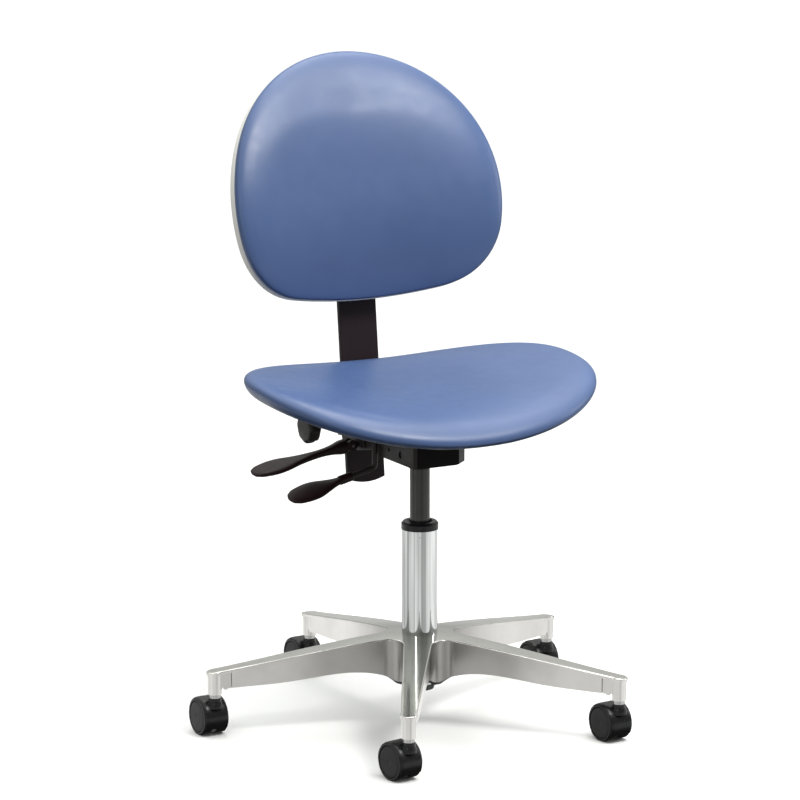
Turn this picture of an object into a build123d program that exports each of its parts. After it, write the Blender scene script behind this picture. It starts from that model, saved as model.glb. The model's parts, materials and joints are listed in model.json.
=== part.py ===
"""Dentist stool: saddle seat and backrest on a gas lift with a five-arm castor base.

Frame: +Z up, origin on the floor under the column. The sitter faces -Y and +X is the sitter's left.
All sizes are millimetres.
"""
from math import atan2, cos, degrees, hypot, radians, sin, sqrt, tan
import os

from build123d import *

# ---------------------------------------------------------------- driving dimensions
# base and castors
ARM_COUNT = 5
ARM_STEP = 360 / ARM_COUNT
ARM_START = -121.6            # direction of the front arm, degrees from +X
STEM_CIRCLE_R = 292.4         # castor stems stand on this circle
ARM_TIP_HALF_WIDTH = 10.8
ARM_TAPER = 0.038             # half width gained per millimetre towards the hub
CROTCH_R = 23                 # fillet between neighbouring arms
FLANGE = 5                    # thickness of the arm's top flange
FLANGE_LIP = 2.6              # how far the flange overhangs the web
RIM_ROUND = 1.6
WEB_WALL = 4
HUB_TOP = 129
HUB_BOTTOM = 63
HUB_R = 33
BOSS_R = 10
BOSS_BOTTOM = 60.5
RUNNING = 0.05                # radial clearance of a shaft that turns in its hole

WHEEL_R = 25.4
WHEEL_WIDTH = 14.6
WHEEL_GAP = 7.4               # between the two wheels of a castor
TRAIL = 19.2                  # wheel axle behind the stem
HOOD_R = 28
HOOD_WALL = 1.7
HOOD_TOP = 55.3
STEM_R = 5.5
STEM_COLLAR_R = 8
AXLE_R = 3
CASTOR_TURNS = (8, 6, 5, 3, 1)

# column and gas spring
COLUMN_R = 25
COLUMN_WALL = 2.3
COLUMN_TOP = 277
COLLAR_TOP = 288
TUBE_R = 14
TUBE_BOTTOM = 150
TAPER_BOTTOM = 365
TUBE_TOP = 396
ROD_R = 5
BUTTON_R = 3.6
BUTTON_TOP = 402.2

# mechanism
HOUSING_HALF = 42
SHEET = 3
HOUSING_BOTTOM = 376
HOUSING_TOP = 410
HOUSING_FRONT = -62
HOUSING_REAR = 118
PIVOT_Y, PIVOT_Z = 87, 386
CLAMP_Y, CLAMP_Z = 109, 380
LEVER_Y, LEVER_Z = 44, 405.5
LEVER_PIVOT_X = -32

# back bar
BAR_HALF_WIDTH = 29.5
BAR_THICK = 8
BAR_LEAN = 6.2
BAR_AT_Y, BAR_AT_Z = 178.1, 483.6
BAR_BOTTOM_Z = 311
BAR_BEND_Z = 598
BAR_TOP_Z = 742
SLEEVE_LOW, SLEEVE_HIGH = 381, 425
KNOB_Z = 398
KNOB_R = 24

# seat
SEAT_HALF = 250.5
SEAT_FRONT, SEAT_REAR = 182.3, 155
SEAT_POWER = 2.41
SEAT_SHIFT = 1.4              # outline's centre behind the column axis
SEAT_MID_Z = 456.8
SEAT_SADDLE, SEAT_DIP, SEAT_KICK, SEAT_TILT = 37.9, 8.5, 18.9, 13.9
SEAT_THICK = 31.6

# backrest
BACK_LEAN = 13.7
BACK_Y, BACK_Z = 160, 620     # reference point of the backrest's surface
BACK_WRAP_R = 550
BACK_R, BACK_R_U = 210, 94.5  # big outline circle and its centre height
BACK_LOW_R, BACK_LOW_U = 900, -45.5
BACK_CORNER_R = 105
PAD_EDGE = 14
PAD_CROWN = 17


def polar(radius, angle):
    """Point on the floor plan at this radius and angle in degrees."""
    return radius * cos(radians(angle)), radius * sin(radians(angle))


def save(piece, name):
    """Label a finished piece and write its STEP file."""
    piece.label = name
    export_step(piece, f"parts/{name}.step")


os.makedirs("parts", exist_ok=True)

# ---------------------------------------------------------------- star base
ARM_END = STEM_CIRCLE_R + 16          # the height curves run on past the arm tips
# height of the arms' top and foot at a radius
arm_top = [(0, HUB_TOP), (48, 127), (110, 120), (174, 111), (261, 98), (ARM_END, 91.5)]
arm_foot = [(44, HUB_BOTTOM), (52, 71), (66, 76.5), (185, 74), (263, 70), (ARM_END, 68.5)]
PLAN_HEIGHT = 140
WEB_END_R = STEM_CIRCLE_R - 22
HOLLOW_DROP = 30                      # the hollow runs out below the arm's foot
MIN_EDGE = 0.5


def arm_outline(inset):
    """Corner points of the star plan, moved inwards by inset, crotch corners first."""
    tip_half = ARM_TIP_HALF_WIDTH - inset
    root_half = tip_half + ARM_TAPER * STEM_CIRCLE_R
    slope = atan2(root_half - tip_half, STEM_CIRCLE_R)
    crotch_r = root_half * cos(slope) / sin(radians(ARM_STEP / 2) + slope)
    points = []
    for number in range(ARM_COUNT):
        along = ARM_START + number * ARM_STEP
        points.append(polar(crotch_r, along - ARM_STEP / 2))
        for side in (-1, 1):
            tip_angle = degrees(atan2(side * tip_half, STEM_CIRCLE_R))
            points.append(polar(hypot(STEM_CIRCLE_R, tip_half), along + tip_angle))
    return points


def star_plan(inset, tip_radius):
    """Star-shaped sketch with round crotches and round arm tips."""
    with BuildSketch() as plan:
        with BuildLine():
            Polyline(*arm_outline(inset), close=True)
        make_face()
        crotches = plan.vertices().sort_by(Axis.Z).filter_by(
            lambda v: hypot(v.X, v.Y) < STEM_CIRCLE_R / 2)
        fillet(crotches, CROTCH_R + inset)
        with PolarLocations(STEM_CIRCLE_R, ARM_COUNT, start_angle=ARM_START):
            Circle(tip_radius)
    return plan.sketch


def height_band(low, high):
    """Sketch in the XZ half plane between two height curves given as radius and height."""
    with BuildSketch(Plane.XZ) as band:
        with BuildLine():
            top = Spline(*high)
            foot = Spline(*low)
            Line(top @ 0, (0, low[0][1]))
            Line((0, low[0][1]), foot @ 0)
            Line(top @ 1, foot @ 1)
        make_face()
    return band.sketch


flange_foot = [(radius, height - FLANGE) for radius, height in arm_top]
web_roof = [(radius, height - FLANGE - WEB_WALL) for radius, height in arm_top]
low_floor = [(radius, height - HOLLOW_DROP) for radius, height in arm_foot]

with BuildPart() as star_flange:
    add(star_plan(0, ARM_TIP_HALF_WIDTH + 1))
    extrude(amount=PLAN_HEIGHT)
    add(height_band(arm_foot, arm_top))
    revolve(axis=Axis.Z, mode=Mode.INTERSECT)
    with BuildSketch(Plane.XZ):
        with BuildLine():
            rim = Spline(*flange_foot)
            Polyline(rim @ 1, (ARM_END, 0), (0, 0), rim @ 0)
        make_face()
    revolve(axis=Axis.Z, mode=Mode.SUBTRACT)
    upper_face = faces().filter_by(lambda face: face.normal_at(face.center()).Z > 0.8)
    fillet(upper_face.edges().filter_by(lambda edge: edge.length > MIN_EDGE), RIM_ROUND)

with BuildPart() as star_web:
    add(star_plan(FLANGE_LIP, ARM_TIP_HALF_WIDTH - FLANGE_LIP))
    extrude(amount=PLAN_HEIGHT)
    add(height_band(arm_foot, flange_foot))
    revolve(axis=Axis.Z, mode=Mode.INTERSECT)
    with BuildSketch():
        Circle(ARM_END)
        Circle(WEB_END_R, mode=Mode.SUBTRACT)
    extrude(amount=PLAN_HEIGHT, mode=Mode.SUBTRACT)

with BuildPart() as star_hollow:
    add(star_plan(FLANGE_LIP + WEB_WALL, 1))
    extrude(amount=PLAN_HEIGHT)
    add(height_band(low_floor, web_roof))
    revolve(axis=Axis.Z, mode=Mode.INTERSECT)
    with BuildSketch():
        Circle(ARM_END)
        Circle(WEB_END_R - WEB_WALL, mode=Mode.SUBTRACT)
        Circle(HUB_R)
    extrude(amount=PLAN_HEIGHT, mode=Mode.SUBTRACT)

COLUMN_SEAT_TOP, COLUMN_SEAT_LOW = 122, 62
COLUMN_LOW_R = 23.2
STEM_HOLE_TOP = 86
BOSS_HEIGHT = 30
RIB_TOP, RIB_LENGTH, RIB_WIDTH = 90, 5.2, 15
ribs = ((70.5, WEB_END_R + 13), (67.5, WEB_END_R + 8), (69, WEB_END_R + 3))
with BuildPart() as base_star:
    add(star_flange.part)
    add(star_web.part)
    add(star_hollow.part, mode=Mode.SUBTRACT)
    with BuildSketch(Plane.XY.offset(BOSS_BOTTOM)):
        with PolarLocations(STEM_CIRCLE_R, ARM_COUNT, start_angle=ARM_START):
            Circle(BOSS_R)
    extrude(amount=BOSS_HEIGHT)
    # stepped ribs that join each boss to its arm
    for rib_low, rib_out in ribs:
        with BuildSketch(Plane.XY.offset(rib_low)):
            with PolarLocations(rib_out, ARM_COUNT, start_angle=ARM_START):
                Rectangle(RIB_LENGTH, RIB_WIDTH)
        extrude(amount=RIB_TOP - rib_low)
    # tapered bore for the column
    with BuildSketch(Plane.XZ):
        with BuildLine():
            Polyline((0, 0), (COLUMN_LOW_R, 0), (COLUMN_LOW_R, COLUMN_SEAT_LOW),
                     (COLUMN_R, COLUMN_SEAT_TOP), (COLUMN_R, HUB_TOP + 5), (0, HUB_TOP + 5), close=True)
        make_face()
    revolve(axis=Axis.Z, mode=Mode.SUBTRACT)
    with BuildSketch(Plane.XY.offset(BOSS_BOTTOM)):
        with PolarLocations(STEM_CIRCLE_R, ARM_COUNT, start_angle=ARM_START):
            Circle(STEM_R + RUNNING)
    extrude(amount=STEM_HOLE_TOP - BOSS_BOTTOM, mode=Mode.SUBTRACT)
save(base_star.part, "base_star")

# ---------------------------------------------------------------- column and gas spring
COLUMN_FLOOR = 53
DIMPLE_Z, DIMPLE_R, DIMPLE_DEPTH = 270, 1.5, 1.2
DIMPLE_DIRECTION = -116.5
dimple_plane = Plane(origin=(*polar(COLUMN_R - DIMPLE_DEPTH, DIMPLE_DIRECTION), DIMPLE_Z),
                     z_dir=(*polar(1, DIMPLE_DIRECTION), 0))
with BuildPart() as column_tube:
    with BuildSketch(Plane.XZ):
        with BuildLine():
            Polyline((ROD_R + 1, 49), (20, 49), (21.5, 51), (COLUMN_LOW_R, 58),
                     (COLUMN_LOW_R, COLUMN_SEAT_LOW), (COLUMN_R, COLUMN_SEAT_TOP),
                     (COLUMN_R, COLUMN_TOP), (COLUMN_R - COLUMN_WALL, COLUMN_TOP),
                     (COLUMN_R - COLUMN_WALL, COLUMN_SEAT_TOP), (COLUMN_LOW_R - COLUMN_WALL, COLUMN_SEAT_LOW),
                     (COLUMN_LOW_R - COLUMN_WALL - 1, COLUMN_FLOOR), (ROD_R + 1, COLUMN_FLOOR), close=True)
        make_face()
    revolve(axis=Axis.Z)
    with BuildSketch(dimple_plane):
        Circle(DIMPLE_R)
    extrude(amount=5, mode=Mode.SUBTRACT)
save(column_tube.part, "column_tube")


def turned(profile):
    """Sketch in the XZ half plane from a closed radius and height profile."""
    with BuildSketch(Plane.XZ) as section:
        with BuildLine():
            Polyline(*profile, close=True)
        make_face()
    return section.sketch


def ring(inner, outer, low, high):
    """Profile of a plain ring."""
    return [(inner, low), (outer, low), (outer, high), (inner, high)]


BUSH_LOW = 205
with BuildPart() as guide_bush:
    add(turned(ring(TUBE_R + RUNNING, COLUMN_R - COLUMN_WALL, BUSH_LOW, COLUMN_TOP)))
    revolve(axis=Axis.Z)
save(guide_bush.part, "guide_bush")

with BuildPart() as column_collar:
    add(turned([(TUBE_R + 0.6, COLUMN_TOP), (COLUMN_R + 0.9, COLUMN_TOP), (COLUMN_R + 0.9, COLLAR_TOP - 3),
                (COLUMN_R - 1.8, COLLAR_TOP), (TUBE_R + 4, COLLAR_TOP), (TUBE_R + 0.6, COLLAR_TOP - 4)]))
    revolve(axis=Axis.Z)
save(column_collar.part, "column_collar")

BEARING_TOP = 61
with BuildPart() as thrust_bearing:
    add(turned(ring(ROD_R + 0.6, 14, COLUMN_FLOOR, COLUMN_FLOOR + 1.5)))
    revolve(axis=Axis.Z)
    add(turned(ring(ROD_R + 1.5, 12.5, COLUMN_FLOOR + 1.5, BEARING_TOP - 1.5)))
    revolve(axis=Axis.Z)
    add(turned(ring(ROD_R + 0.6, 14, BEARING_TOP - 1.5, BEARING_TOP)))
    revolve(axis=Axis.Z)
save(thrust_bearing.part, "thrust_bearing")

ROD_FOOT, CLIP_LOW, CLIP_HIGH = 45.5, 47, 48.6
PISTON_LOW, PISTON_HIGH = 222, 236
with BuildPart() as piston_rod:
    add(turned([(0, ROD_FOOT), (ROD_R - 1, ROD_FOOT), (ROD_R - 1, CLIP_LOW), (ROD_R - 1.6, CLIP_LOW),
                (ROD_R - 1.6, CLIP_HIGH), (ROD_R, CLIP_HIGH), (ROD_R, BEARING_TOP + 0.1),
                (ROD_R + 3, BEARING_TOP + 0.1), (ROD_R + 3, BEARING_TOP + 3), (ROD_R, BEARING_TOP + 3),
                (ROD_R, PISTON_LOW), (ROD_R - 1.5, PISTON_LOW), (ROD_R - 1.5, PISTON_HIGH + 3),
                (0, PISTON_HIGH + 3)]))
    revolve(axis=Axis.Z)
save(piston_rod.part, "piston_rod")

with BuildPart() as retaining_clip:
    add(turned(ring(ROD_R - 1.6, 8, CLIP_LOW, CLIP_HIGH)))
    revolve(axis=Axis.Z)
    with BuildSketch(Plane.XY.offset(CLIP_LOW)):
        with Locations((0, 6)):
            Rectangle(3.4, 12)
    extrude(amount=CLIP_HIGH - CLIP_LOW, mode=Mode.SUBTRACT)
save(retaining_clip.part, "retaining_clip")

with BuildPart() as bumper:
    add(turned([(ROD_R, BEARING_TOP + 3), (11, BEARING_TOP + 3), (12.5, BEARING_TOP + 9),
                (9.5, BEARING_TOP + 16), (ROD_R, BEARING_TOP + 16)]))
    revolve(axis=Axis.Z)
save(bumper.part, "bumper")

CYLINDER_BORE = 12
with BuildPart() as piston:
    add(turned(ring(ROD_R - 1.5, CYLINDER_BORE - RUNNING, PISTON_LOW, PISTON_HIGH)))
    revolve(axis=Axis.Z)
save(piston.part, "piston")

GLAND_HIGH, CHAMBER_TOP = 166, 380
TAPER_TOP_R = 13.1
with BuildPart() as gas_cylinder:
    add(turned([(CYLINDER_BORE, TUBE_BOTTOM), (TUBE_R - 1, TUBE_BOTTOM), (TUBE_R, TUBE_BOTTOM + 2),
                (TUBE_R, TAPER_BOTTOM), (TAPER_TOP_R, TUBE_TOP), (BUTTON_R + RUNNING, TUBE_TOP),
                (BUTTON_R + RUNNING, CHAMBER_TOP), (CYLINDER_BORE, CHAMBER_TOP)]))
    revolve(axis=Axis.Z)
save(gas_cylinder.part, "gas_cylinder")

with BuildPart() as cylinder_gland:
    add(turned(ring(ROD_R + RUNNING, CYLINDER_BORE, TUBE_BOTTOM, GLAND_HIGH)))
    revolve(axis=Axis.Z)
save(cylinder_gland.part, "cylinder_gland")

with BuildPart() as valve_button:
    add(turned([(0, CHAMBER_TOP + 2), (BUTTON_R, CHAMBER_TOP + 2), (BUTTON_R, BUTTON_TOP - 1),
                (BUTTON_R - 1, BUTTON_TOP), (0, BUTTON_TOP)]))
    revolve(axis=Axis.Z)
save(valve_button.part, "valve_button")

SOCKET_R = 17
SOCKET_LIP_R, SOCKET_LIP = 16, 363.5
with BuildPart() as taper_socket:
    add(turned([(TUBE_R, SOCKET_LIP), (SOCKET_LIP_R, SOCKET_LIP), (SOCKET_R, SOCKET_LIP + 2),
                (SOCKET_R, HOUSING_BOTTOM + SHEET), (SOCKET_R + 5, HOUSING_BOTTOM + SHEET),
                (SOCKET_R + 5, HOUSING_BOTTOM + SHEET + 4), (SOCKET_R, HOUSING_BOTTOM + SHEET + 4),
                (SOCKET_R, TUBE_TOP - 3), (TAPER_TOP_R + 0.0871, TUBE_TOP - 3), (TUBE_R, TAPER_BOTTOM)]))
    revolve(axis=Axis.Z)
save(taper_socket.part, "taper_socket")

# ---------------------------------------------------------------- mechanism housing
CORNER_NEAR, CORNER_FAR_X, CORNER_FAR_Y = 4, 18, 16


def housing_plan(inset):
    """Plan of the housing from its front to its rear, inset from every outer wall but the rear."""
    half = HOUSING_HALF - inset
    front = HOUSING_FRONT + inset
    return [(-half, HOUSING_REAR), (-half, front + CORNER_NEAR), (-half + CORNER_NEAR, front),
            (half - CORNER_FAR_X, front), (half, front + CORNER_FAR_Y), (half, HOUSING_REAR)]


FLOOR_REAR = 52
housing_side = [(HOUSING_FRONT - 1, HOUSING_BOTTOM), (30, HOUSING_BOTTOM), (55, HOUSING_BOTTOM + 7),
                (101, HOUSING_BOTTOM - 3), (HOUSING_REAR, HOUSING_BOTTOM - 4), (HOUSING_REAR, HOUSING_TOP),
                (HOUSING_FRONT - 1, HOUSING_TOP)]
PIVOT_R, CLAMP_R = 5, 4
LEVER_SLOT_Y, LEVER_SLOT_Z = 11, 12
PIN_R = 2                     # cross pins of the two levers
side_holes = (((12, 390.5), 2.6), ((-21, 389), 5))
EAR_LENGTH, EAR_WIDTH, EAR_OUT, EAR_DROP = 11, 4, 8.5, 5
ear_x = -HOUSING_HALF + SHEET + EAR_LENGTH / 2
with BuildPart() as mechanism_housing:
    with BuildSketch(Plane.YZ.offset(-HOUSING_HALF)):
        with BuildLine():
            Polyline(*housing_side, close=True)
        make_face()
    extrude(amount=2 * HOUSING_HALF)
    with BuildSketch():
        with BuildLine():
            Polyline(*housing_plan(0), close=True)
        make_face()
    extrude(amount=HOUSING_TOP + 10, mode=Mode.INTERSECT)
    # inside, above the floor
    with BuildSketch(Plane.XY.offset(HOUSING_BOTTOM + SHEET)):
        with BuildLine():
            Polyline(*housing_plan(SHEET), close=True)
        make_face()
    extrude(amount=HOUSING_TOP, mode=Mode.SUBTRACT)
    # open floor at the rear, where the bracket swings, and open back
    with BuildSketch(Plane.XY.offset(HOUSING_BOTTOM - 20)):
        with Locations((0, (FLOOR_REAR + HOUSING_REAR + 10) / 2)):
            Rectangle(2 * (HOUSING_HALF - SHEET), HOUSING_REAR + 10 - FLOOR_REAR)
    extrude(amount=HOUSING_TOP, mode=Mode.SUBTRACT)
    with BuildSketch(Plane.XY.offset(HOUSING_BOTTOM - 1)):
        Circle(SOCKET_R)
    extrude(amount=10, mode=Mode.SUBTRACT)
    # pivot and clamp bolt holes, and the two small holes of each side plate
    with BuildSketch(Plane.YZ.offset(-HOUSING_HALF - 1)):
        with Locations((PIVOT_Y, PIVOT_Z)):
            Circle(PIVOT_R)
        with Locations((CLAMP_Y, CLAMP_Z)):
            Circle(CLAMP_R)
        for spot, hole_r in side_holes:
            with Locations(spot):
                Circle(hole_r)
    extrude(amount=2 * HOUSING_HALF + 2, mode=Mode.SUBTRACT)
    # slot for the height lever's arm
    with BuildSketch(Plane.YZ.offset(-HOUSING_HALF - 1)):
        with Locations((LEVER_Y, LEVER_Z)):
            Rectangle(LEVER_SLOT_Y, LEVER_SLOT_Z)
    extrude(amount=SHEET + 2, mode=Mode.SUBTRACT)
    # ears that hold the height lever's pin
    with BuildSketch(Plane.XY.offset(LEVER_Z - EAR_DROP)):
        with Locations((ear_x, LEVER_Y - EAR_OUT), (ear_x, LEVER_Y + EAR_OUT)):
            Rectangle(EAR_LENGTH, EAR_WIDTH)
    extrude(amount=HOUSING_TOP - LEVER_Z + EAR_DROP)
    with BuildSketch(Plane.XZ.offset(-LEVER_Y)):
        with Locations((LEVER_PIVOT_X, LEVER_Z)):
            Circle(PIN_R)
    extrude(amount=EAR_OUT + EAR_WIDTH, both=True, mode=Mode.SUBTRACT)
save(mechanism_housing.part, "mechanism_housing")

COVER_THICK = 2
with BuildPart() as front_cover:
    with BuildSketch(Plane.XY.offset(HOUSING_BOTTOM + 1)):
        with BuildLine():
            Polyline(*housing_plan(-COVER_THICK), close=True)
        make_face()
        with BuildLine():
            Polyline(*housing_plan(0), close=True)
        make_face(mode=Mode.SUBTRACT)
        with Locations((0, HOUSING_REAR)):
            Rectangle(4 * HOUSING_HALF, 2 * (HOUSING_REAR - HOUSING_FRONT - CORNER_FAR_Y),
                      mode=Mode.SUBTRACT)
        with Locations((-HOUSING_HALF, HOUSING_FRONT + CORNER_NEAR)):
            Rectangle(2 * CORNER_NEAR, 60, mode=Mode.SUBTRACT)
    extrude(amount=HOUSING_TOP - HOUSING_BOTTOM - 1)
save(front_cover.part, "front_cover")

PLATE_TOP = HOUSING_TOP + SHEET
SEAT_BOLTS = [(-52, 10), (52, 10), (-52, 80), (52, 80)]
BOLT_R = 3.5
with BuildPart() as seat_plate:
    with BuildSketch(Plane.XY.offset(HOUSING_TOP)):
        with Locations((0, 44)):
            RectangleRounded(140, 104, 8)
        with Locations((0, -30)):
            Rectangle(2 * HOUSING_HALF - 4, 56)
        with Locations(*SEAT_BOLTS):
            Circle(BOLT_R, mode=Mode.SUBTRACT)
        # room for the height lever's arm to lift
        with Locations((-52, LEVER_Y)):
            Rectangle(22, 14, mode=Mode.SUBTRACT)
    extrude(amount=SHEET)
save(seat_plate.part, "seat_plate")

# ---------------------------------------------------------------- seat


def seat_mid(x, y):
    """Height of the seat pad's middle surface."""
    forward = -(y - SEAT_SHIFT)
    slope = -SEAT_DIP * (forward / 200) ** 3 if forward > 0 else SEAT_KICK * (forward / 200) ** 2
    return SEAT_MID_Z + SEAT_SADDLE * (x / 250) ** 2 + slope - SEAT_TILT * forward / 200


def loaf_points(low, high, half_thick, bow, shape):
    """Closed cross-section: rounded ends, flat or crowned faces, mapped through shape(along, off)."""
    end = min(half_thick, 0.45 * (high - low))
    points = []
    for step in range(1, 8):
        along = low + end + (high - low - 2 * end) * step / 8
        swell = bow * (1 - ((2 * along - low - high) / (high - low)) ** 2)
        points.append((along, half_thick + swell))
    for angle in (90, 60, 30, 0, -30, -60, -90):
        points.append((high - end + end * cos(radians(angle)), half_thick * sin(radians(angle))))
    for step in range(1, 8):
        along = high - end - (high - low - 2 * end) * step / 8
        points.append((along, -half_thick))
    for angle in (270, 240, 210, 180, 150, 120, 90):
        points.append((low + end + end * cos(radians(angle)), half_thick * sin(radians(angle))))
    return [shape(along, off) for along, off in points]


def seat_sections(scale, half_thick, drop):
    """Sketches across the seat, from the sitter's right to the left, for a loft."""
    half = SEAT_HALF * scale
    rounding = min(half_thick, 16)
    sketches = []
    for share in (-0.996, -0.975, -0.93, -0.84, -0.66, -0.35, 0, 0.35, 0.66, 0.84, 0.93, 0.975, 0.996):
        x = share * half
        reach = (1 - abs(share) ** SEAT_POWER) ** (1 / SEAT_POWER)
        beyond = max(0, (abs(x) - (half - rounding)) / rounding)
        thick = half_thick * sqrt(1 - beyond ** 2)
        low = SEAT_SHIFT - SEAT_FRONT * scale * reach
        high = SEAT_SHIFT + SEAT_REAR * scale * reach
        with BuildSketch(Plane.YZ.offset(x)) as sketch:
            with BuildLine():
                Spline(*loaf_points(low, high, thick, 0, lambda y, off: (y, seat_mid(x, y) - drop + off)),
                       periodic=True)
            make_face()
        sketches.append(sketch.sketch)
    return sketches


with BuildPart() as seat_cushion:
    for section in seat_sections(1, SEAT_THICK / 2, 0):
        add(section)
    loft()
save(seat_cushion.part, "seat_cushion")

PAN_THICK = 12
PAN_SCALE = 0.62
with BuildPart() as seat_pan:
    for section in seat_sections(PAN_SCALE, PAN_THICK / 2 + 3, SEAT_THICK / 2 + PAN_THICK / 2 - 3):
        add(section)
    loft()
    add(seat_cushion.part, mode=Mode.SUBTRACT)
save(seat_pan.part, "seat_pan")

with BuildPart() as seat_board:
    with BuildSketch(Plane.XY.offset(PLATE_TOP)):
        with Locations((0, 25)):
            RectangleRounded(122, 134, 12)
        with Locations(*SEAT_BOLTS):
            Circle(BOLT_R, mode=Mode.SUBTRACT)
    extrude(amount=40)
    add(seat_pan.part, mode=Mode.SUBTRACT)
    add(seat_cushion.part, mode=Mode.SUBTRACT)
save(seat_board.part, "seat_board")

BOLT_HEAD, BOLT_HEAD_R, BOLT_LENGTH = 4, 6.5, 16
with BuildPart() as seat_bolts:
    with BuildSketch(Plane.XY.offset(HOUSING_TOP - BOLT_HEAD)):
        with Locations(*SEAT_BOLTS):
            RegularPolygon(BOLT_HEAD_R, 6)
    extrude(amount=BOLT_HEAD)
    with BuildSketch(Plane.XY.offset(HOUSING_TOP)):
        with Locations(*SEAT_BOLTS):
            Circle(BOLT_R)
    extrude(amount=BOLT_LENGTH)
save(seat_bolts.part, "seat_bolts")

# ---------------------------------------------------------------- height lever
ARM_FLAT = 6                  # thickness of the lever's flat inner arm
ROD_X = -47                   # the lever's rod hangs outside the side plate
ROD_LEVER_R = 4
ROD_ELBOW_Z, ROD_END, ROD_BEND = 359.8, (-98, LEVER_Y, 347.7), 7
HEIGHT_SLOPE = -13.3
HEIGHT_ROOT = (-84, LEVER_Y, 351)


def lever_direction(slope):
    """Unit vector of a lever that points to the sitter's right and down by slope degrees."""
    return Vector(-cos(radians(slope)), 0, sin(radians(slope)))


def lever_plane(root, slope, distance, twist):
    """Cross-section plane of a lever at this distance from its root, turned by twist degrees."""
    along = lever_direction(slope)
    across = Vector(0, 1, 0) * cos(radians(twist)) + along.cross(Vector(0, 1, 0)) * sin(radians(twist))
    return Plane(origin=Vector(*root) + along * distance, x_dir=across, z_dir=along)


def handle_sections(root, slope, stations):
    """Rounded sections for a lever handle: stations are distance, width, height and twist."""
    sketches = []
    for distance, width, height, twist in stations:
        with BuildSketch(lever_plane(root, slope, distance, twist)) as sketch:
            RectangleRounded(width, height, 0.46 * min(width, height))
        sketches.append(sketch.sketch)
    return sketches


with BuildPart() as height_lever_arm:
    with BuildSketch(Plane.XY.offset(LEVER_Z - ARM_FLAT / 2)):
        with Locations(((ROD_X - 8) / 2, LEVER_Y)):
            Rectangle(-ROD_X + 4, 8)
        with Locations((-1, (LEVER_Y - 8) / 2)):
            Rectangle(14, LEVER_Y + 16)
    extrude(amount=ARM_FLAT)
    with BuildLine() as rod_path:
        FilletPolyline((ROD_X, LEVER_Y, LEVER_Z), (ROD_X, LEVER_Y, ROD_ELBOW_Z), ROD_END, radius=ROD_BEND)
    with BuildSketch(rod_path.line ^ 0):
        Circle(ROD_LEVER_R)
    sweep(path=rod_path.line)
    with BuildSketch(Plane.XZ.offset(-LEVER_Y)):
        with Locations((LEVER_PIVOT_X, LEVER_Z)):
            Circle(PIN_R + RUNNING)
    extrude(amount=EAR_OUT, both=True, mode=Mode.SUBTRACT)
save(height_lever_arm.part, "height_lever_arm")

with BuildPart() as lever_pin:
    with BuildSketch(Plane.XZ.offset(-LEVER_Y)):
        with Locations((LEVER_PIVOT_X, LEVER_Z)):
            Circle(PIN_R)
    extrude(amount=EAR_OUT + EAR_WIDTH / 2, both=True)
save(lever_pin.part, "lever_pin")

SOCKET_OUTER_R, SOCKET_LENGTH = 6.6, 20
with BuildPart() as height_lever_handle:
    for section in handle_sections(HEIGHT_ROOT, HEIGHT_SLOPE, (
            (0, 13, 12, 0), (20, 14, 9.5, -4), (38, 26, 9, -15), (55, 37, 9, -21),
            (76, 37, 8.5, -21), (93, 26, 7, -20), (99, 12, 4, -20))):
        add(section)
    loft()
    with BuildSketch(lever_plane(HEIGHT_ROOT, HEIGHT_SLOPE, -1, 0)):
        Circle(SOCKET_OUTER_R)
    extrude(amount=SOCKET_LENGTH)
    add(height_lever_arm.part, mode=Mode.SUBTRACT)
save(height_lever_handle.part, "height_lever_handle")

# ---------------------------------------------------------------- back lever and clamp
CLAMP_X = -52                 # the cam's pin, outside the side plate
BACK_SLOPE = -9.6
CAM_R = 8
CAM_HALF = 10
EYE_HALF, EYE_R = 3, 5.5
CAM_SLOT = 0.4                # room on each side of the eye
CLAMP_NUT_R, CLAMP_NUT = 7, 6
with BuildPart() as clamp_bolt:
    with BuildSketch(Plane.XZ.offset(-CLAMP_Y - EYE_HALF)):
        with Locations((CLAMP_X, CLAMP_Z)):
            Circle(EYE_R)
    extrude(amount=2 * EYE_HALF)
    with BuildSketch(Plane.XZ.offset(-CLAMP_Y - CAM_HALF - 1)):
        with Locations((CLAMP_X, CLAMP_Z)):
            Circle(PIN_R)
    extrude(amount=2 * CAM_HALF + 2)
    with BuildSketch(Plane.YZ.offset(CLAMP_X + 5)):
        with Locations((CLAMP_Y, CLAMP_Z)):
            Circle(EYE_HALF)
    extrude(amount=-CLAMP_X - 5 - HOUSING_HALF)
    with BuildSketch(Plane.YZ.offset(-HOUSING_HALF)):
        with Locations((CLAMP_Y, CLAMP_Z)):
            Circle(CLAMP_R)
    extrude(amount=2 * HOUSING_HALF)
    with BuildSketch(Plane.YZ.offset(HOUSING_HALF)):
        with Locations((CLAMP_Y, CLAMP_Z)):
            RegularPolygon(CLAMP_NUT_R, 6)
    extrude(amount=CLAMP_NUT)
save(clamp_bolt.part, "clamp_bolt")

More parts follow.
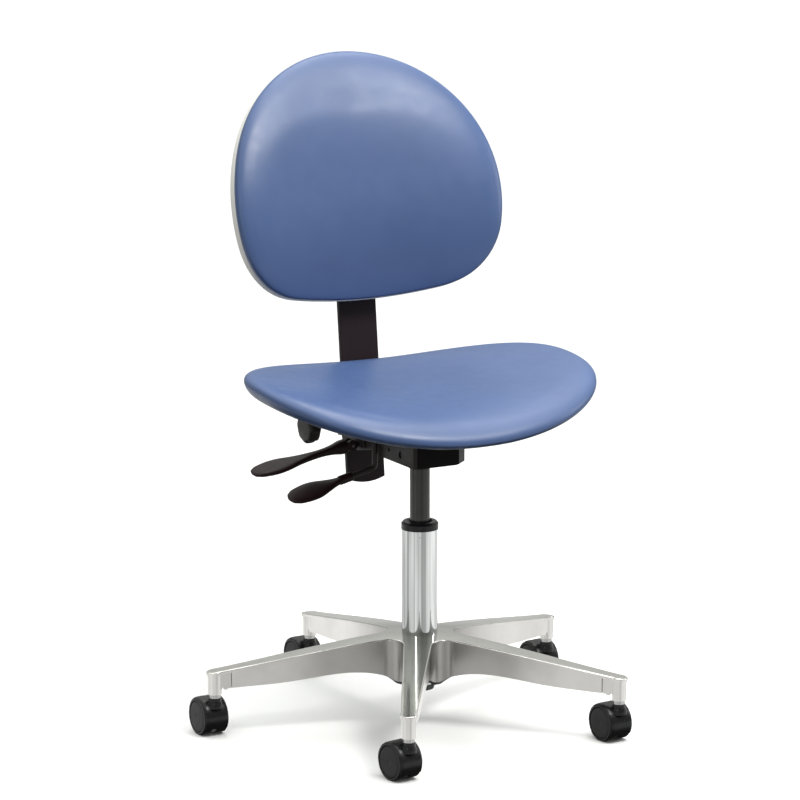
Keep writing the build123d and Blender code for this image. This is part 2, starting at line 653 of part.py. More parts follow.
with BuildPart() as back_lever_handle:
    for section in handle_sections((CLAMP_X, CLAMP_Y, CLAMP_Z), BACK_SLOPE, (
            (4, 2 * CAM_HALF, 16, 0), (12, 19, 21, 0), (28, 16, 14, 0), (45, 14, 10.5, 0), (62, 16, 10.5, -5),
            (83, 24, 9.5, -10), (108, 36, 8.5, -15), (134, 34, 8, -15), (149, 24, 7, -14),
            (154.5, 12, 4, -14))):
        add(section)
    loft()
    with BuildSketch(Plane.XZ.offset(-CLAMP_Y - CAM_HALF)):
        with Locations((CLAMP_X, CLAMP_Z)):
            Circle(CAM_R)
    extrude(amount=2 * CAM_HALF)
    with BuildSketch(Plane.XZ.offset(-CLAMP_Y - EYE_HALF - CAM_SLOT)):
        with Locations((CLAMP_X, CLAMP_Z)):
            Circle(EYE_R + 2 * CAM_SLOT)
        with Locations((CLAMP_X + CAM_HALF, CLAMP_Z)):
            Rectangle(2 * CAM_HALF, 2 * EYE_R + 4 * CAM_SLOT)
    extrude(amount=2 * (EYE_HALF + CAM_SLOT), mode=Mode.SUBTRACT)
    with BuildSketch(Plane.XZ.offset(-CLAMP_Y - CAM_HALF - 1)):
        with Locations((CLAMP_X, CLAMP_Z)):
            Circle(PIN_R + RUNNING)
    extrude(amount=2 * CAM_HALF + 2, mode=Mode.SUBTRACT)
save(back_lever_handle.part, "back_lever_handle")

PIVOT_HEAD = 3
with BuildPart() as pivot_pin:
    with BuildSketch(Plane.YZ.offset(-HOUSING_HALF - PIVOT_HEAD)):
        with Locations((PIVOT_Y, PIVOT_Z)):
            Circle(PIVOT_R)
    extrude(amount=2 * (HOUSING_HALF + PIVOT_HEAD))
    for side in (-HOUSING_HALF - PIVOT_HEAD, HOUSING_HALF):
        with BuildSketch(Plane.YZ.offset(side)):
            with Locations((PIVOT_Y, PIVOT_Z)):
                Circle(PIVOT_R + PIVOT_HEAD)
        extrude(amount=PIVOT_HEAD)
save(pivot_pin.part, "pivot_pin")

BRACKET_HALF = 36
PLATE_GAP = 0.3
PLATE_WIDTH = 17
with BuildPart() as friction_plates:
    for start in (-HOUSING_HALF + SHEET + PLATE_GAP, BRACKET_HALF + PLATE_GAP):
        with BuildSketch(Plane.YZ.offset(start)):
            with BuildLine():
                plate_line = Line((PIVOT_Y, PIVOT_Z), (CLAMP_Y, CLAMP_Z))
            SlotArc(plate_line, PLATE_WIDTH)
            with Locations((PIVOT_Y, PIVOT_Z)):
                Circle(PIVOT_R, mode=Mode.SUBTRACT)
            with Locations((CLAMP_Y, CLAMP_Z)):
                Circle(CLAMP_R, mode=Mode.SUBTRACT)
        extrude(amount=HOUSING_HALF - SHEET - BRACKET_HALF - 2 * PLATE_GAP)
save(friction_plates.part, "friction_plates")

# ---------------------------------------------------------------- rear bracket, knob and back bar
LEAN = radians(BAR_LEAN)


def bar_y(z):
    """Where the bar's middle plane is at this height, below its bend."""
    return BAR_AT_Y + (z - BAR_AT_Z) * tan(LEAN)


SLIDE_GAP = 0.3
SLEEVE_WALL = 4
BAR_FRAME = Plane(origin=(0, bar_y(SLEEVE_LOW), SLEEVE_LOW), x_dir=(1, 0, 0), z_dir=(0, sin(LEAN), cos(LEAN)))
SLEEVE_HEIGHT = (SLEEVE_HIGH - SLEEVE_LOW) / cos(LEAN)
KNOB_BOSS_X = -46
KNOB_BOSS_R, STUD_R = 8, 4
BRIDGE_Y, BRIDGE_Z, BRIDGE_LENGTH = 138, 393, 34
CLEAR = 60                    # cutters run this far past what they cut
bracket_side = [(74, 396), (74, 381), (80, 376), (116, 369), (158, 370), (164, 381), (166, 400),
                (158, 414), (150, 400), (120, 396)]
SWING_BACK, SWING_FORWARD, SWING_SPARE, SWING_GAP = 14, 4, 1.5, 0.4
clamp_angle = degrees(atan2(CLAMP_Z - PIVOT_Z, CLAMP_Y - PIVOT_Y))
clamp_reach = hypot(CLAMP_Y - PIVOT_Y, CLAMP_Z - PIVOT_Z)
swing_start = clamp_angle - SWING_FORWARD - SWING_SPARE
swing_arc = SWING_FORWARD + SWING_BACK + 2 * SWING_SPARE
with BuildPart() as back_bracket:
    for start in (-BRACKET_HALF, BRACKET_HALF - SHEET):
        with BuildSketch(Plane.YZ.offset(start)):
            with BuildLine():
                Polyline(*bracket_side, close=True)
            make_face()
            with Locations((PIVOT_Y, PIVOT_Z)):
                Circle(PIVOT_R + RUNNING, mode=Mode.SUBTRACT)
            with BuildLine():
                clamp_arc = CenterArc((PIVOT_Y, PIVOT_Z), clamp_reach, swing_start, swing_arc)
            SlotArc(clamp_arc, 2 * (CLAMP_R + SWING_GAP), mode=Mode.SUBTRACT)
        extrude(amount=SHEET)
    with BuildSketch(Plane.XY.offset(BRIDGE_Z)):
        with Locations((0, BRIDGE_Y)):
            Rectangle(2 * BRACKET_HALF, BRIDGE_LENGTH)
    extrude(amount=SHEET)
    with BuildSketch(BAR_FRAME):
        Rectangle(2 * BRACKET_HALF, BAR_THICK + 2 * (SLIDE_GAP + SLEEVE_WALL))
    extrude(amount=SLEEVE_HEIGHT)
    with BuildSketch(Plane.YZ.offset(KNOB_BOSS_X)):
        with Locations((bar_y(KNOB_Z), KNOB_Z)):
            Circle(KNOB_BOSS_R)
    extrude(amount=-KNOB_BOSS_X - BRACKET_HALF)
    with BuildSketch(BAR_FRAME.offset(-CLEAR / 2)):
        Rectangle(2 * (BAR_HALF_WIDTH + SLIDE_GAP), BAR_THICK + 2 * SLIDE_GAP)
    extrude(amount=SLEEVE_HEIGHT + CLEAR, mode=Mode.SUBTRACT)
    with BuildSketch(Plane.YZ.offset(KNOB_BOSS_X - 1)):
        with Locations((bar_y(KNOB_Z), KNOB_Z)):
            Circle(STUD_R + RUNNING)
    extrude(amount=20, mode=Mode.SUBTRACT)
save(back_bracket.part, "back_bracket")

KNOB_IN, KNOB_OUT = -76, -94
KNOB_CAP = 6                  # closed end of the knob, and length of its hub
KNOB_HUB_R = 10
with BuildPart() as knob_stud:
    with BuildSketch(Plane.YZ.offset(KNOB_OUT + KNOB_CAP)):
        with Locations((bar_y(KNOB_Z), KNOB_Z)):
            Circle(STUD_R)
    extrude(amount=-BAR_HALF_WIDTH - 2 * SLIDE_GAP - KNOB_OUT - KNOB_CAP)
save(knob_stud.part, "knob_stud")

FLUTES, FLUTE_R = 14, 3
with BuildPart() as clamp_knob:
    with BuildSketch(Plane.YZ.offset(KNOB_OUT)):
        with Locations((bar_y(KNOB_Z), KNOB_Z)):
            Circle(KNOB_R)
        with Locations((bar_y(KNOB_Z), KNOB_Z)):
            with PolarLocations(KNOB_R + FLUTE_R / 2, FLUTES):
                Circle(FLUTE_R, mode=Mode.SUBTRACT)
    extrude(amount=KNOB_IN - KNOB_OUT)
    with BuildSketch(Plane.YZ.offset(KNOB_IN)):
        with Locations((bar_y(KNOB_Z), KNOB_Z)):
            Circle(KNOB_HUB_R)
    extrude(amount=KNOB_CAP)
    with BuildSketch(Plane.YZ.offset(KNOB_OUT + KNOB_CAP)):
        with Locations((bar_y(KNOB_Z), KNOB_Z)):
            Circle(STUD_R)
    extrude(amount=CLEAR, mode=Mode.SUBTRACT)
save(clamp_knob.part, "clamp_knob")

TOP_LEAN = radians(BACK_LEAN)
bend_y = bar_y(BAR_BEND_Z)
BAR_BEND_R = 60
BAR_CORNER_R, BAR_BELLY, BAR_EDGE = 6, 6, 1.5
low_z = BAR_BOTTOM_Z + BAR_BELLY + 1
with BuildPart() as back_bar:
    with BuildSketch(Plane.YZ.offset(-BAR_HALF_WIDTH)):
        with BuildLine():
            FilletPolyline((bar_y(BAR_BOTTOM_Z), BAR_BOTTOM_Z), (bend_y, BAR_BEND_Z),
                           (bend_y + (BAR_TOP_Z - BAR_BEND_Z) * tan(TOP_LEAN), BAR_TOP_Z), radius=BAR_BEND_R)
            offset(amount=BAR_THICK / 2, kind=Kind.INTERSECTION, side=Side.BOTH)
        make_face()
    extrude(amount=2 * BAR_HALF_WIDTH)
    # bellied bottom end and soft top corners
    with BuildSketch(Plane.XZ.offset(-bend_y - 80)):
        with BuildLine():
            ThreePointArc((-BAR_HALF_WIDTH, low_z), (0, BAR_BOTTOM_Z + 1), (BAR_HALF_WIDTH, low_z))
            Polyline((BAR_HALF_WIDTH, low_z), (BAR_HALF_WIDTH, BAR_TOP_Z + BAR_CORNER_R),
                     (-BAR_HALF_WIDTH, BAR_TOP_Z + BAR_CORNER_R), (-BAR_HALF_WIDTH, low_z))
        make_face()
        fillet(vertices().group_by(Axis.Y)[-1], BAR_CORNER_R)
    extrude(amount=200, mode=Mode.INTERSECT)
    long_edges = back_bar.edges().filter_by(lambda edge: edge.length > 100).group_by(Axis.X)
    fillet(long_edges[0] + long_edges[-1], BAR_EDGE)

# ---------------------------------------------------------------- backrest
corner_v = ((BACK_LOW_R + BACK_LOW_U) ** 2 - BACK_R_U ** 2 - (BACK_LOW_R - BACK_CORNER_R) ** 2
            + (BACK_R - BACK_CORNER_R) ** 2) / (2 * (BACK_LOW_R + BACK_LOW_U - BACK_R_U))
corner_s = sqrt((BACK_R - BACK_CORNER_R) ** 2 - (corner_v - BACK_R_U) ** 2)
low_centre = BACK_LOW_U + BACK_LOW_R


def back_span(arc, inset):
    """Lowest and highest point of the backrest's outline at this sideways distance."""
    big = BACK_R - inset
    high = BACK_R_U + sqrt(max(0, big ** 2 - arc ** 2))
    away = abs(arc)
    corner = BACK_CORNER_R - inset
    low_r = BACK_LOW_R - inset
    if away <= low_r * corner_s / (BACK_LOW_R - BACK_CORNER_R):
        low = low_centre - sqrt(low_r ** 2 - arc ** 2)
    elif away <= big * corner_s / (BACK_R - BACK_CORNER_R):
        low = corner_v - sqrt(max(0, corner ** 2 - (away - corner_s) ** 2))
    else:
        low = BACK_R_U - sqrt(max(0, big ** 2 - arc ** 2))
    return low, high


def back_point(x, up, ahead):
    """Point in the YZ plane at x, from height up the backrest and distance ahead of its surface."""
    wrap = BACK_WRAP_R - sqrt(BACK_WRAP_R ** 2 - x ** 2)
    out = ahead + wrap
    return (BACK_Y + up * sin(TOP_LEAN) - out * cos(TOP_LEAN),
            BACK_Z + up * cos(TOP_LEAN) + out * sin(TOP_LEAN))


STATION_SHARES = (0.998, 0.985, 0.95, 0.88, 0.76, 0.6, 0.42, 0.21, 0)
stations = [-share for share in STATION_SHARES] + [share for share in reversed(STATION_SHARES[:-1])]


def back_loaf(inset, half_thick, middle, bow):
    """Sections for a rounded slab that follows the backrest's outline and wrap."""
    sketches = []
    for share in stations:
        arc = share * (BACK_R - inset)
        x = BACK_WRAP_R * sin(arc / BACK_WRAP_R)
        low, high = back_span(arc, inset)
        beyond = max(0, (abs(arc) - (BACK_R - inset - half_thick)) / half_thick)
        thick = half_thick * sqrt(1 - min(0.995, beyond) ** 2)
        crown = bow * (1 - share ** 2)
        with BuildSketch(Plane.YZ.offset(x)) as sketch:
            with BuildLine():
                Spline(*loaf_points(low, high, thick, crown,
                                    lambda up, off: back_point(x, up, middle + off)), periodic=True)
            make_face()
        sketches.append(sketch.sketch)
    return sketches


def back_dish(inset, front, depth, rounding, bulge):
    """Sections for a dish that is flat in front and domed behind."""
    sketches = []
    for share in stations:
        arc = share * (BACK_R - inset)
        x = BACK_WRAP_R * sin(arc / BACK_WRAP_R)
        low, high = back_span(arc, inset)
        edge = min(rounding, 0.3 * (high - low))
        dome = bulge * (1 - share ** 2)
        wall = [(low, front), (low, -(depth - edge) / 2), (low, edge - depth),
                (low + 0.293 * edge, 0.293 * edge - depth), (low + edge, -depth)]
        points = list(wall)
        for step in range(1, 8):
            up = low + edge + (high - low - 2 * edge) * step / 8
            points.append((up, -depth - dome * (1 - ((2 * up - low - high) / (high - low)) ** 2)))
        points += [(low + high - up, ahead) for up, ahead in reversed(wall)]
        placed = [back_point(x, up, ahead - PAD_EDGE) for up, ahead in points]
        with BuildSketch(Plane.YZ.offset(x)) as sketch:
            with BuildLine():
                Spline(*placed)
                Line(placed[-1], placed[0])
            make_face()
        sketches.append(sketch.sketch)
    return sketches


with BuildPart() as backrest_cushion:
    for section in back_loaf(0, PAD_EDGE, 0, PAD_CROWN):
        add(section)
    loft()
save(backrest_cushion.part, "backrest_cushion")

SHELL_DEPTH, SHELL_WALL, SHELL_DOME = 12.5, 3, 3.6
SCREW_R, SCREW_HEAD_R, SCREW_HEAD = 3, 6.5, 4
top_direction = Vector(0, -cos(TOP_LEAN), sin(TOP_LEAN))
screw_planes = []
for height in (628, 668, 708):
    face_y = bend_y + (height - BAR_BEND_Z) * tan(TOP_LEAN)
    screw_planes.append(Plane(origin=(0, face_y, height), x_dir=(1, 0, 0), z_dir=top_direction))
with BuildPart() as backrest_screws:
    for plane in screw_planes:
        with BuildSketch(plane.offset(-BAR_THICK / 2 - SCREW_HEAD)):
            Circle(SCREW_HEAD_R)
        extrude(amount=SCREW_HEAD)
        with BuildSketch(plane.offset(-BAR_THICK / 2)):
            Circle(SCREW_R)
        extrude(amount=22)
save(backrest_screws.part, "backrest_screws")

with BuildPart() as bar_with_holes:
    add(back_bar.part)
    add(backrest_screws.part, mode=Mode.SUBTRACT)
save(bar_with_holes.part, "back_bar")

with BuildPart() as shell_inside:
    for section in back_dish(SHELL_WALL, 2, SHELL_DEPTH - SHELL_WALL, 4, SHELL_DOME):
        add(section)
    loft()
with BuildPart() as backrest_board:
    for section in back_loaf(12, 4.4, -PAD_EDGE - 4.5, 0):
        add(section)
    loft()
    add(backrest_cushion.part, mode=Mode.SUBTRACT)
    add(backrest_screws.part, mode=Mode.SUBTRACT)
save(backrest_board.part, "backrest_board")
with BuildPart() as backrest_shell:
    for section in back_dish(0, 0, SHELL_DEPTH, 6, SHELL_DOME):
        add(section)
    loft()
    add(shell_inside.part, mode=Mode.SUBTRACT)
    add(backrest_cushion.part, mode=Mode.SUBTRACT)
    add(back_bar.part, mode=Mode.SUBTRACT)
    add(backrest_screws.part, mode=Mode.SUBTRACT)
save(backrest_shell.part, "backrest_shell")

# ---------------------------------------------------------------- castors
HOOD_HALF = WHEEL_GAP / 2 + WHEEL_WIDTH - 1
WEB_HALF = 2.7
HOOD_FRONT_ANGLE, HOOD_REAR_ANGLE = 210, 355
BOSS_LOW, STEM_LOW = 40, 49
AXLE_BOSS_R = 7
well_r = HOOD_R - HOOD_WALL
axle_point = (TRAIL, WHEEL_R)


def axle_polar(radius, angle):
    """Point in the YZ plane around the axle."""
    return TRAIL + radius * cos(radians(angle)), WHEEL_R + radius * sin(radians(angle))


with BuildPart() as castor_housing:
    with BuildSketch(Plane.YZ.offset(-HOOD_HALF)):
        with Locations(axle_point):
            Circle(HOOD_R)
        with BuildLine():
            Polyline(axle_point, axle_polar(50, HOOD_FRONT_ANGLE), axle_polar(80, 282),
                     axle_polar(50, HOOD_REAR_ANGLE), close=True)
        make_face(mode=Mode.SUBTRACT)
    extrude(amount=2 * HOOD_HALF)
    with BuildSketch(Plane.XY.offset(BOSS_LOW)):
        Circle(STEM_COLLAR_R + 1)
    extrude(amount=HOOD_TOP - BOSS_LOW)
    for start, width in ((-HOOD_HALF - 1, HOOD_HALF + 1 - WEB_HALF), (WEB_HALF, HOOD_HALF + 1 - WEB_HALF)):
        with BuildSketch(Plane.YZ.offset(start)):
            with Locations(axle_point):
                Circle(well_r)
        extrude(amount=width, mode=Mode.SUBTRACT)
    with BuildSketch(Plane.YZ.offset(-WHEEL_GAP / 2 + 0.3)):
        with Locations(axle_point):
            Circle(AXLE_BOSS_R)
    extrude(amount=WHEEL_GAP - 0.6)
    with BuildSketch(Plane.YZ.offset(-HOOD_HALF)):
        with Locations(axle_point):
            Circle(AXLE_R)
    extrude(amount=2 * HOOD_HALF, mode=Mode.SUBTRACT)
    with BuildSketch(Plane.XY.offset(STEM_LOW)):
        Circle(STEM_R)
    extrude(amount=HOOD_TOP, mode=Mode.SUBTRACT)

with BuildPart() as castor_stem:
    add(turned([(0, STEM_LOW), (STEM_R, STEM_LOW), (STEM_R, HOOD_TOP), (STEM_COLLAR_R, HOOD_TOP),
                (STEM_COLLAR_R, BOSS_BOTTOM - 0.2), (STEM_R, BOSS_BOTTOM - 0.2), (STEM_R, STEM_HOLE_TOP - 3),
                (STEM_R - 1.5, STEM_HOLE_TOP - 1), (0, STEM_HOLE_TOP - 1)]))
    revolve(axis=Axis.Z)

AXLE_HALF = WHEEL_GAP / 2 + 11.5
with BuildPart() as castor_axle:
    with BuildSketch(Plane.YZ.offset(-AXLE_HALF)):
        with Locations(axle_point):
            Circle(AXLE_R)
    extrude(amount=2 * AXLE_HALF)


def wheel_profile(side):
    """Half section of a wheel on this side of the castor, as distance along the axle and radius."""
    near, far = WHEEL_GAP / 2, WHEEL_GAP / 2 + WHEEL_WIDTH
    bore_end = AXLE_HALF + 0.5
    points = [(near, AXLE_R + RUNNING), (near, 9), (near + 2, 10), (near + 2, 19.5), (near, 21),
              (near, WHEEL_R - 1.5), (near + 1.5, WHEEL_R), (far - 2, WHEEL_R), (far - 0.6, WHEEL_R - 1.2),
              (far - 0.3, 22.6), (far - 1.2, 22), (far - 1.2, 21.4), (far - 0.2, 20.8), (far, 0),
              (bore_end, 0), (bore_end, AXLE_R + RUNNING)]
    return [(side * along, radius) for along, radius in points]


AXLE_PLANE = Plane(origin=(0, TRAIL, WHEEL_R), x_dir=(1, 0, 0), z_dir=(0, -1, 0))
AXLE_AXIS = Axis((0, TRAIL, WHEEL_R), (1, 0, 0))
castor_pieces = {"housing": castor_housing.part, "stem": castor_stem.part, "axle": castor_axle.part}
for side, name in ((-1, "wheel_right"), (1, "wheel_left")):
    with BuildPart() as castor_wheel:
        with BuildSketch(AXLE_PLANE):
            with BuildLine():
                Polyline(*wheel_profile(side), close=True)
            make_face()
        revolve(axis=AXLE_AXIS)
    castor_pieces[name] = castor_wheel.part

for number, turn in enumerate(CASTOR_TURNS):
    spot = polar(STEM_CIRCLE_R, ARM_START + number * ARM_STEP)
    place = Location((*spot, 0), (0, 0, turn))
    for name, piece in castor_pieces.items():
        save(piece.moved(place), f"castor_{number + 1}_{name}")
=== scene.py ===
"""Looks of the dentist stool: vinyl pads, moulded shell, polished base, column, levers and castors.

Shapes are worked out in millimetres in the stool's own frame and turned into metres when a mesh is made.
"""
import json
import math

import bmesh
import bpy
from mathutils import Matrix, Vector
import numpy as np


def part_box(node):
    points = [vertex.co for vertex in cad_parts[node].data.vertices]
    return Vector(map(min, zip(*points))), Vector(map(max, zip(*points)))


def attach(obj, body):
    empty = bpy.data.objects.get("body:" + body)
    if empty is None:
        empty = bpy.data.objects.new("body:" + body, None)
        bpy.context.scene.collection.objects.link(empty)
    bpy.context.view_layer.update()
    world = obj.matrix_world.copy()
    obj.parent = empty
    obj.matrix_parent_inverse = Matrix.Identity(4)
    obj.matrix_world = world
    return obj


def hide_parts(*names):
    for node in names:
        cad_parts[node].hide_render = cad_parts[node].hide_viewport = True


MM = 0.001
MERGE_NEW, MERGE_CAD = 0.01, 0.002      # millimetres between points that are one
FLAT_DEGREES = 0.4                      # faces of a CAD node closer in angle than this are one
SHARP_DEGREES = 35
CORNER_SHARE = 0.45                     # most of an edge that a rounded corner takes

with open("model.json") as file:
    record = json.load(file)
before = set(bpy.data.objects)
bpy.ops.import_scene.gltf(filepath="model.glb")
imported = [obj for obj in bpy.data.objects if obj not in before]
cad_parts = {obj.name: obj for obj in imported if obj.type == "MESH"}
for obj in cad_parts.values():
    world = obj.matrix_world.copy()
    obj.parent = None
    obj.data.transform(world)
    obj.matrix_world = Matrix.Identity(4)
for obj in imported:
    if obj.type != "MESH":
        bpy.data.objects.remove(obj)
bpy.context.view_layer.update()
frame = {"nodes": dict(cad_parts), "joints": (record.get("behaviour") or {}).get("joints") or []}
nodes = frame["nodes"]
scene = bpy.context.scene
scene.view_settings.view_transform = "Standard"


# ---------------------------------------------------------------- mesh helpers
def mesh_object(name, points, faces):
    """A smooth-shaded object from points in millimetres, with its faces turned outwards."""
    mesh = bpy.data.meshes.new(name)
    mesh.from_pydata([[value * MM for value in point] for point in points], [], faces)
    work = bmesh.new()
    work.from_mesh(mesh)
    bmesh.ops.remove_doubles(work, verts=work.verts, dist=MERGE_NEW * MM)
    bmesh.ops.recalc_face_normals(work, faces=work.faces)
    work.to_mesh(mesh)
    work.free()
    mesh.shade_smooth()
    piece = bpy.data.objects.new(name, mesh)
    scene.collection.objects.link(piece)
    return piece


def loops_faces(loops, count):
    """Quads between neighbouring loops of count points each, with the two ends filled."""
    faces = []
    for row in range(loops - 1):
        for step in range(count):
            after = (step + 1) % count
            faces.append((row * count + step, row * count + after,
                          (row + 1) * count + after, (row + 1) * count + step))
    faces.append(tuple(range(count)))
    faces.append(tuple((loops - 1) * count + step for step in range(count)))
    return faces


def rounded(profile, radius, steps=4):
    """A closed 2-D profile with each corner turned into a small curve."""
    result = []
    for number, corner in enumerate(profile):
        before = Vector(profile[number - 1])
        after = Vector(profile[(number + 1) % len(profile)])
        corner = Vector(corner)
        back = before - corner
        ahead = after - corner
        cut = min(radius, CORNER_SHARE * back.length, CORNER_SHARE * ahead.length)
        start = corner + back.normalized() * cut
        end = corner + ahead.normalized() * cut
        for step in range(steps + 1):
            t = step / steps
            result.append(tuple(start * (1 - t) ** 2 + corner * 2 * t * (1 - t) + end * t ** 2))
    return result


def lathe(name, profile, segments, place):
    """A closed radius and height profile turned about Z, then moved by place."""
    points = []
    for step in range(segments):
        angle = 2 * math.pi * step / segments
        for radius, height in profile:
            point = Vector((radius * math.cos(angle), radius * math.sin(angle), height))
            points.append(place @ point)
    count = len(profile)
    faces = []
    for step in range(segments):
        after = (step + 1) % segments
        for row in range(count):
            below = (row + 1) % count
            faces.append((step * count + row, after * count + row,
                          after * count + below, step * count + below))
    return mesh_object(name, points, faces)


def joined(name, pieces):
    """One object from several."""
    work = bmesh.new()
    for piece in pieces:
        work.from_mesh(piece.data)
        bpy.data.objects.remove(piece)
    mesh = bpy.data.meshes.new(name)
    work.to_mesh(mesh)
    work.free()
    mesh.shade_smooth()
    piece = bpy.data.objects.new(name, mesh)
    scene.collection.objects.link(piece)
    return piece


def soften(piece, width, angle=SHARP_DEGREES):
    """Small round edges on a piece, with its flat faces kept flat."""
    bevel = piece.modifiers.new("edges", "BEVEL")
    bevel.width = width * MM
    bevel.segments = 2
    bevel.limit_method = "ANGLE"
    bevel.angle_limit = math.radians(angle)
    bevel.use_clamp_overlap = True
    flat = piece.modifiers.new("normals", "WEIGHTED_NORMAL")
    flat.keep_sharp = True
    return piece


def refined(node, width):
    """A CAD node's shape with small round edges."""
    mesh = nodes[node].data.copy()
    mesh.name = node + "_finished"
    mesh.materials.clear()
    if mesh.has_custom_normals:
        mesh.normals_split_custom_set([(0, 0, 0)] * len(mesh.loops))
    work = bmesh.new()
    work.from_mesh(mesh)
    bmesh.ops.remove_doubles(work, verts=work.verts, dist=MERGE_CAD * MM)
    bmesh.ops.dissolve_limit(work, angle_limit=math.radians(FLAT_DEGREES), verts=work.verts, edges=work.edges)
    work.to_mesh(mesh)
    work.free()
    mesh.shade_smooth()
    piece = bpy.data.objects.new(node + "_finished", mesh)
    scene.collection.objects.link(piece)
    return soften(piece, width)


def settle(piece, body, slot, coats, *stands_for):
    """Give a piece its material and its CAD body, and hide the CAD nodes that it stands for; slot is not
    used.
    """
    for coat in coats if isinstance(coats, (list, tuple)) else [coats]:
        piece.data.materials.append(coat)
    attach(piece, body)
    if stands_for:
        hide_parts(*stands_for)


# ---------------------------------------------------------------- node helpers
def tree_of(coat):
    """The nodes, links and main shader of a material."""
    coat.use_nodes = True
    tree = coat.node_tree
    return tree.nodes, tree.links, tree.nodes["Principled BSDF"]


def stretched(tree, source, before, after):
    """A value moved from one range to another."""
    node = tree.nodes.new("ShaderNodeMapRange")
    node.inputs["From Min"].default_value, node.inputs["From Max"].default_value = before
    node.inputs["To Min"].default_value, node.inputs["To Max"].default_value = after
    tree.links.new(source, node.inputs["Value"])
    return node.outputs["Result"]


def combined(tree, operation, first, second):
    """Two values combined by a math operation."""
    node = tree.nodes.new("ShaderNodeMath")
    node.operation = operation
    tree.links.new(first, node.inputs[0])
    tree.links.new(second, node.inputs[1])
    return node.outputs["Value"]


def darkened(tree, colour, factor):
    """A colour multiplied by a grey factor."""
    node = tree.nodes.new("ShaderNodeMix")
    node.data_type = "RGBA"
    node.blend_type = "MULTIPLY"
    node.inputs["Factor"].default_value = 1
    tree.links.new(colour, node.inputs[6])
    tree.links.new(factor, node.inputs[7])
    return node.outputs[2]


def noise_node(coat, scale, detail=3, stretch=(1, 1, 1)):
    """A noise texture in the piece's own coordinates, stretched along its axes."""
    parts, links, _ = tree_of(coat)
    place = parts.new("ShaderNodeTexCoord")
    mapping = parts.new("ShaderNodeMapping")
    mapping.inputs["Scale"].default_value = stretch
    grain = parts.new("ShaderNodeTexNoise")
    grain.inputs["Scale"].default_value = scale
    grain.inputs["Detail"].default_value = detail
    links.new(place.outputs["Object"], mapping.inputs["Vector"])
    links.new(mapping.outputs["Vector"], grain.inputs["Vector"])
    return grain.outputs["Fac"]


def cells_node(coat, scale):
    """A cell texture in the piece's own coordinates."""
    parts, links, _ = tree_of(coat)
    place = parts.new("ShaderNodeTexCoord")
    cells = parts.new("ShaderNodeTexVoronoi")
    cells.feature = "SMOOTH_F1"
    cells.inputs["Scale"].default_value = scale
    links.new(place.outputs["Object"], cells.inputs["Vector"])
    return cells.outputs["Distance"]


NOISE_RANGE = (0.3, 0.7)      # a noise texture is nearly always between these
TINT_RANGE = (0.32, 0.68)


def roughen(coat, source, low, high):
    """Roughness that follows a texture."""
    _, links, shader = tree_of(coat)
    links.new(stretched(coat.node_tree, source, NOISE_RANGE, (low, high)), shader.inputs["Roughness"])


def tint(coat, source, dark, light):
    """Colour that wanders between two tones with a texture."""
    parts, links, shader = tree_of(coat)
    ramp = parts.new("ShaderNodeValToRGB")
    for stop, position, tone in zip(ramp.color_ramp.elements, TINT_RANGE, (dark, light)):
        stop.position = position
        stop.color = (*tone, 1)
    links.new(source, ramp.inputs["Fac"])
    links.new(ramp.outputs["Color"], shader.inputs["Base Color"])


def relief(coat, *layers):
    """Bumps on the surface: each layer is a texture and its height in millimetres."""
    parts, links, shader = tree_of(coat)
    below = None
    for source, height in layers:
        bump = parts.new("ShaderNodeBump")
        bump.inputs["Strength"].default_value = 1
        bump.inputs["Distance"].default_value = height * MM
        links.new(source, bump.inputs["Height"])
        if below:
            links.new(below, bump.inputs["Normal"])
        below = bump.outputs["Normal"]
    links.new(below, shader.inputs["Normal"])


# ---------------------------------------------------------------- materials
def new_coat(name, metallic=0.0, specular=0.5):
    """A material with the values that are the same all over it."""
    coat = bpy.data.materials.new(name)
    _, _, shader = tree_of(coat)
    shader.inputs["Metallic"].default_value = metallic
    shader.inputs["Specular IOR Level"].default_value = specular
    return coat


def tones(colour, darker, lighter):
    """A colour made darker, and made lighter."""
    return [tuple(min(1, value * factor) for value in colour) for factor in (darker, lighter)]


def vinyl_coat():
    """Blue vinyl-coated cloth: fine leather-like grain, soft broad sheen."""
    coat = new_coat("vinyl_blue_finish", specular=0.62)
    tint(coat, noise_node(coat, 9, 4), *tones((0.055, 0.101, 0.240), 0.94, 1.06))
    roughen(coat, noise_node(coat, 60, 5), 0.35, 0.43)
    relief(coat, (cells_node(coat, 1100), 0.035), (noise_node(coat, 2600, 2), 0.012),
           (noise_node(coat, 45, 3), 0.03))
    return coat


def plastic_coat(name, colour, rough, grain=0.02, grain_scale=1500, vary=0.08, specular=0.3):
    """Moulded plastic or powder coat: fine grain, and patches a little duller than others."""
    coat = new_coat(name, specular=specular)
    tint(coat, noise_node(coat, 25, 4), *tones(colour, 1 - vary, 1 + vary))
    roughen(coat, noise_node(coat, 90, 4), rough - 0.05, rough + 0.05)
    relief(coat, (noise_node(coat, grain_scale, 2), grain))
    return coat


def metal_coat(name, dark, light, rough, patches=(14, 4), marks=(160, (1, 1, 1), 0.004)):
    """Bare metal: two tones that wander with a texture (random patches on the steels, painted reflection
    streaks on the chrome), and polish marks with their scale, direction and height.
    """
    coat = new_coat(name, metallic=1.0)
    scale, stretch, height = marks
    tint(coat, noise_node(coat, *patches), dark, light)
    roughen(coat, noise_node(coat, scale, 5, stretch), *rough)
    relief(coat, (noise_node(coat, scale, 4, stretch), height))
    return coat


HUB_SHADE_SPAN, HUB_SHADE_LEVEL = (0.03, 0.16), 0.36      # metres from the hub over which the painted shade on the sides fades out, and its darkest level
SIDE_ROUGH, TOP_ROUGH, SCRATCH = 0.26, 0.04, 0.07


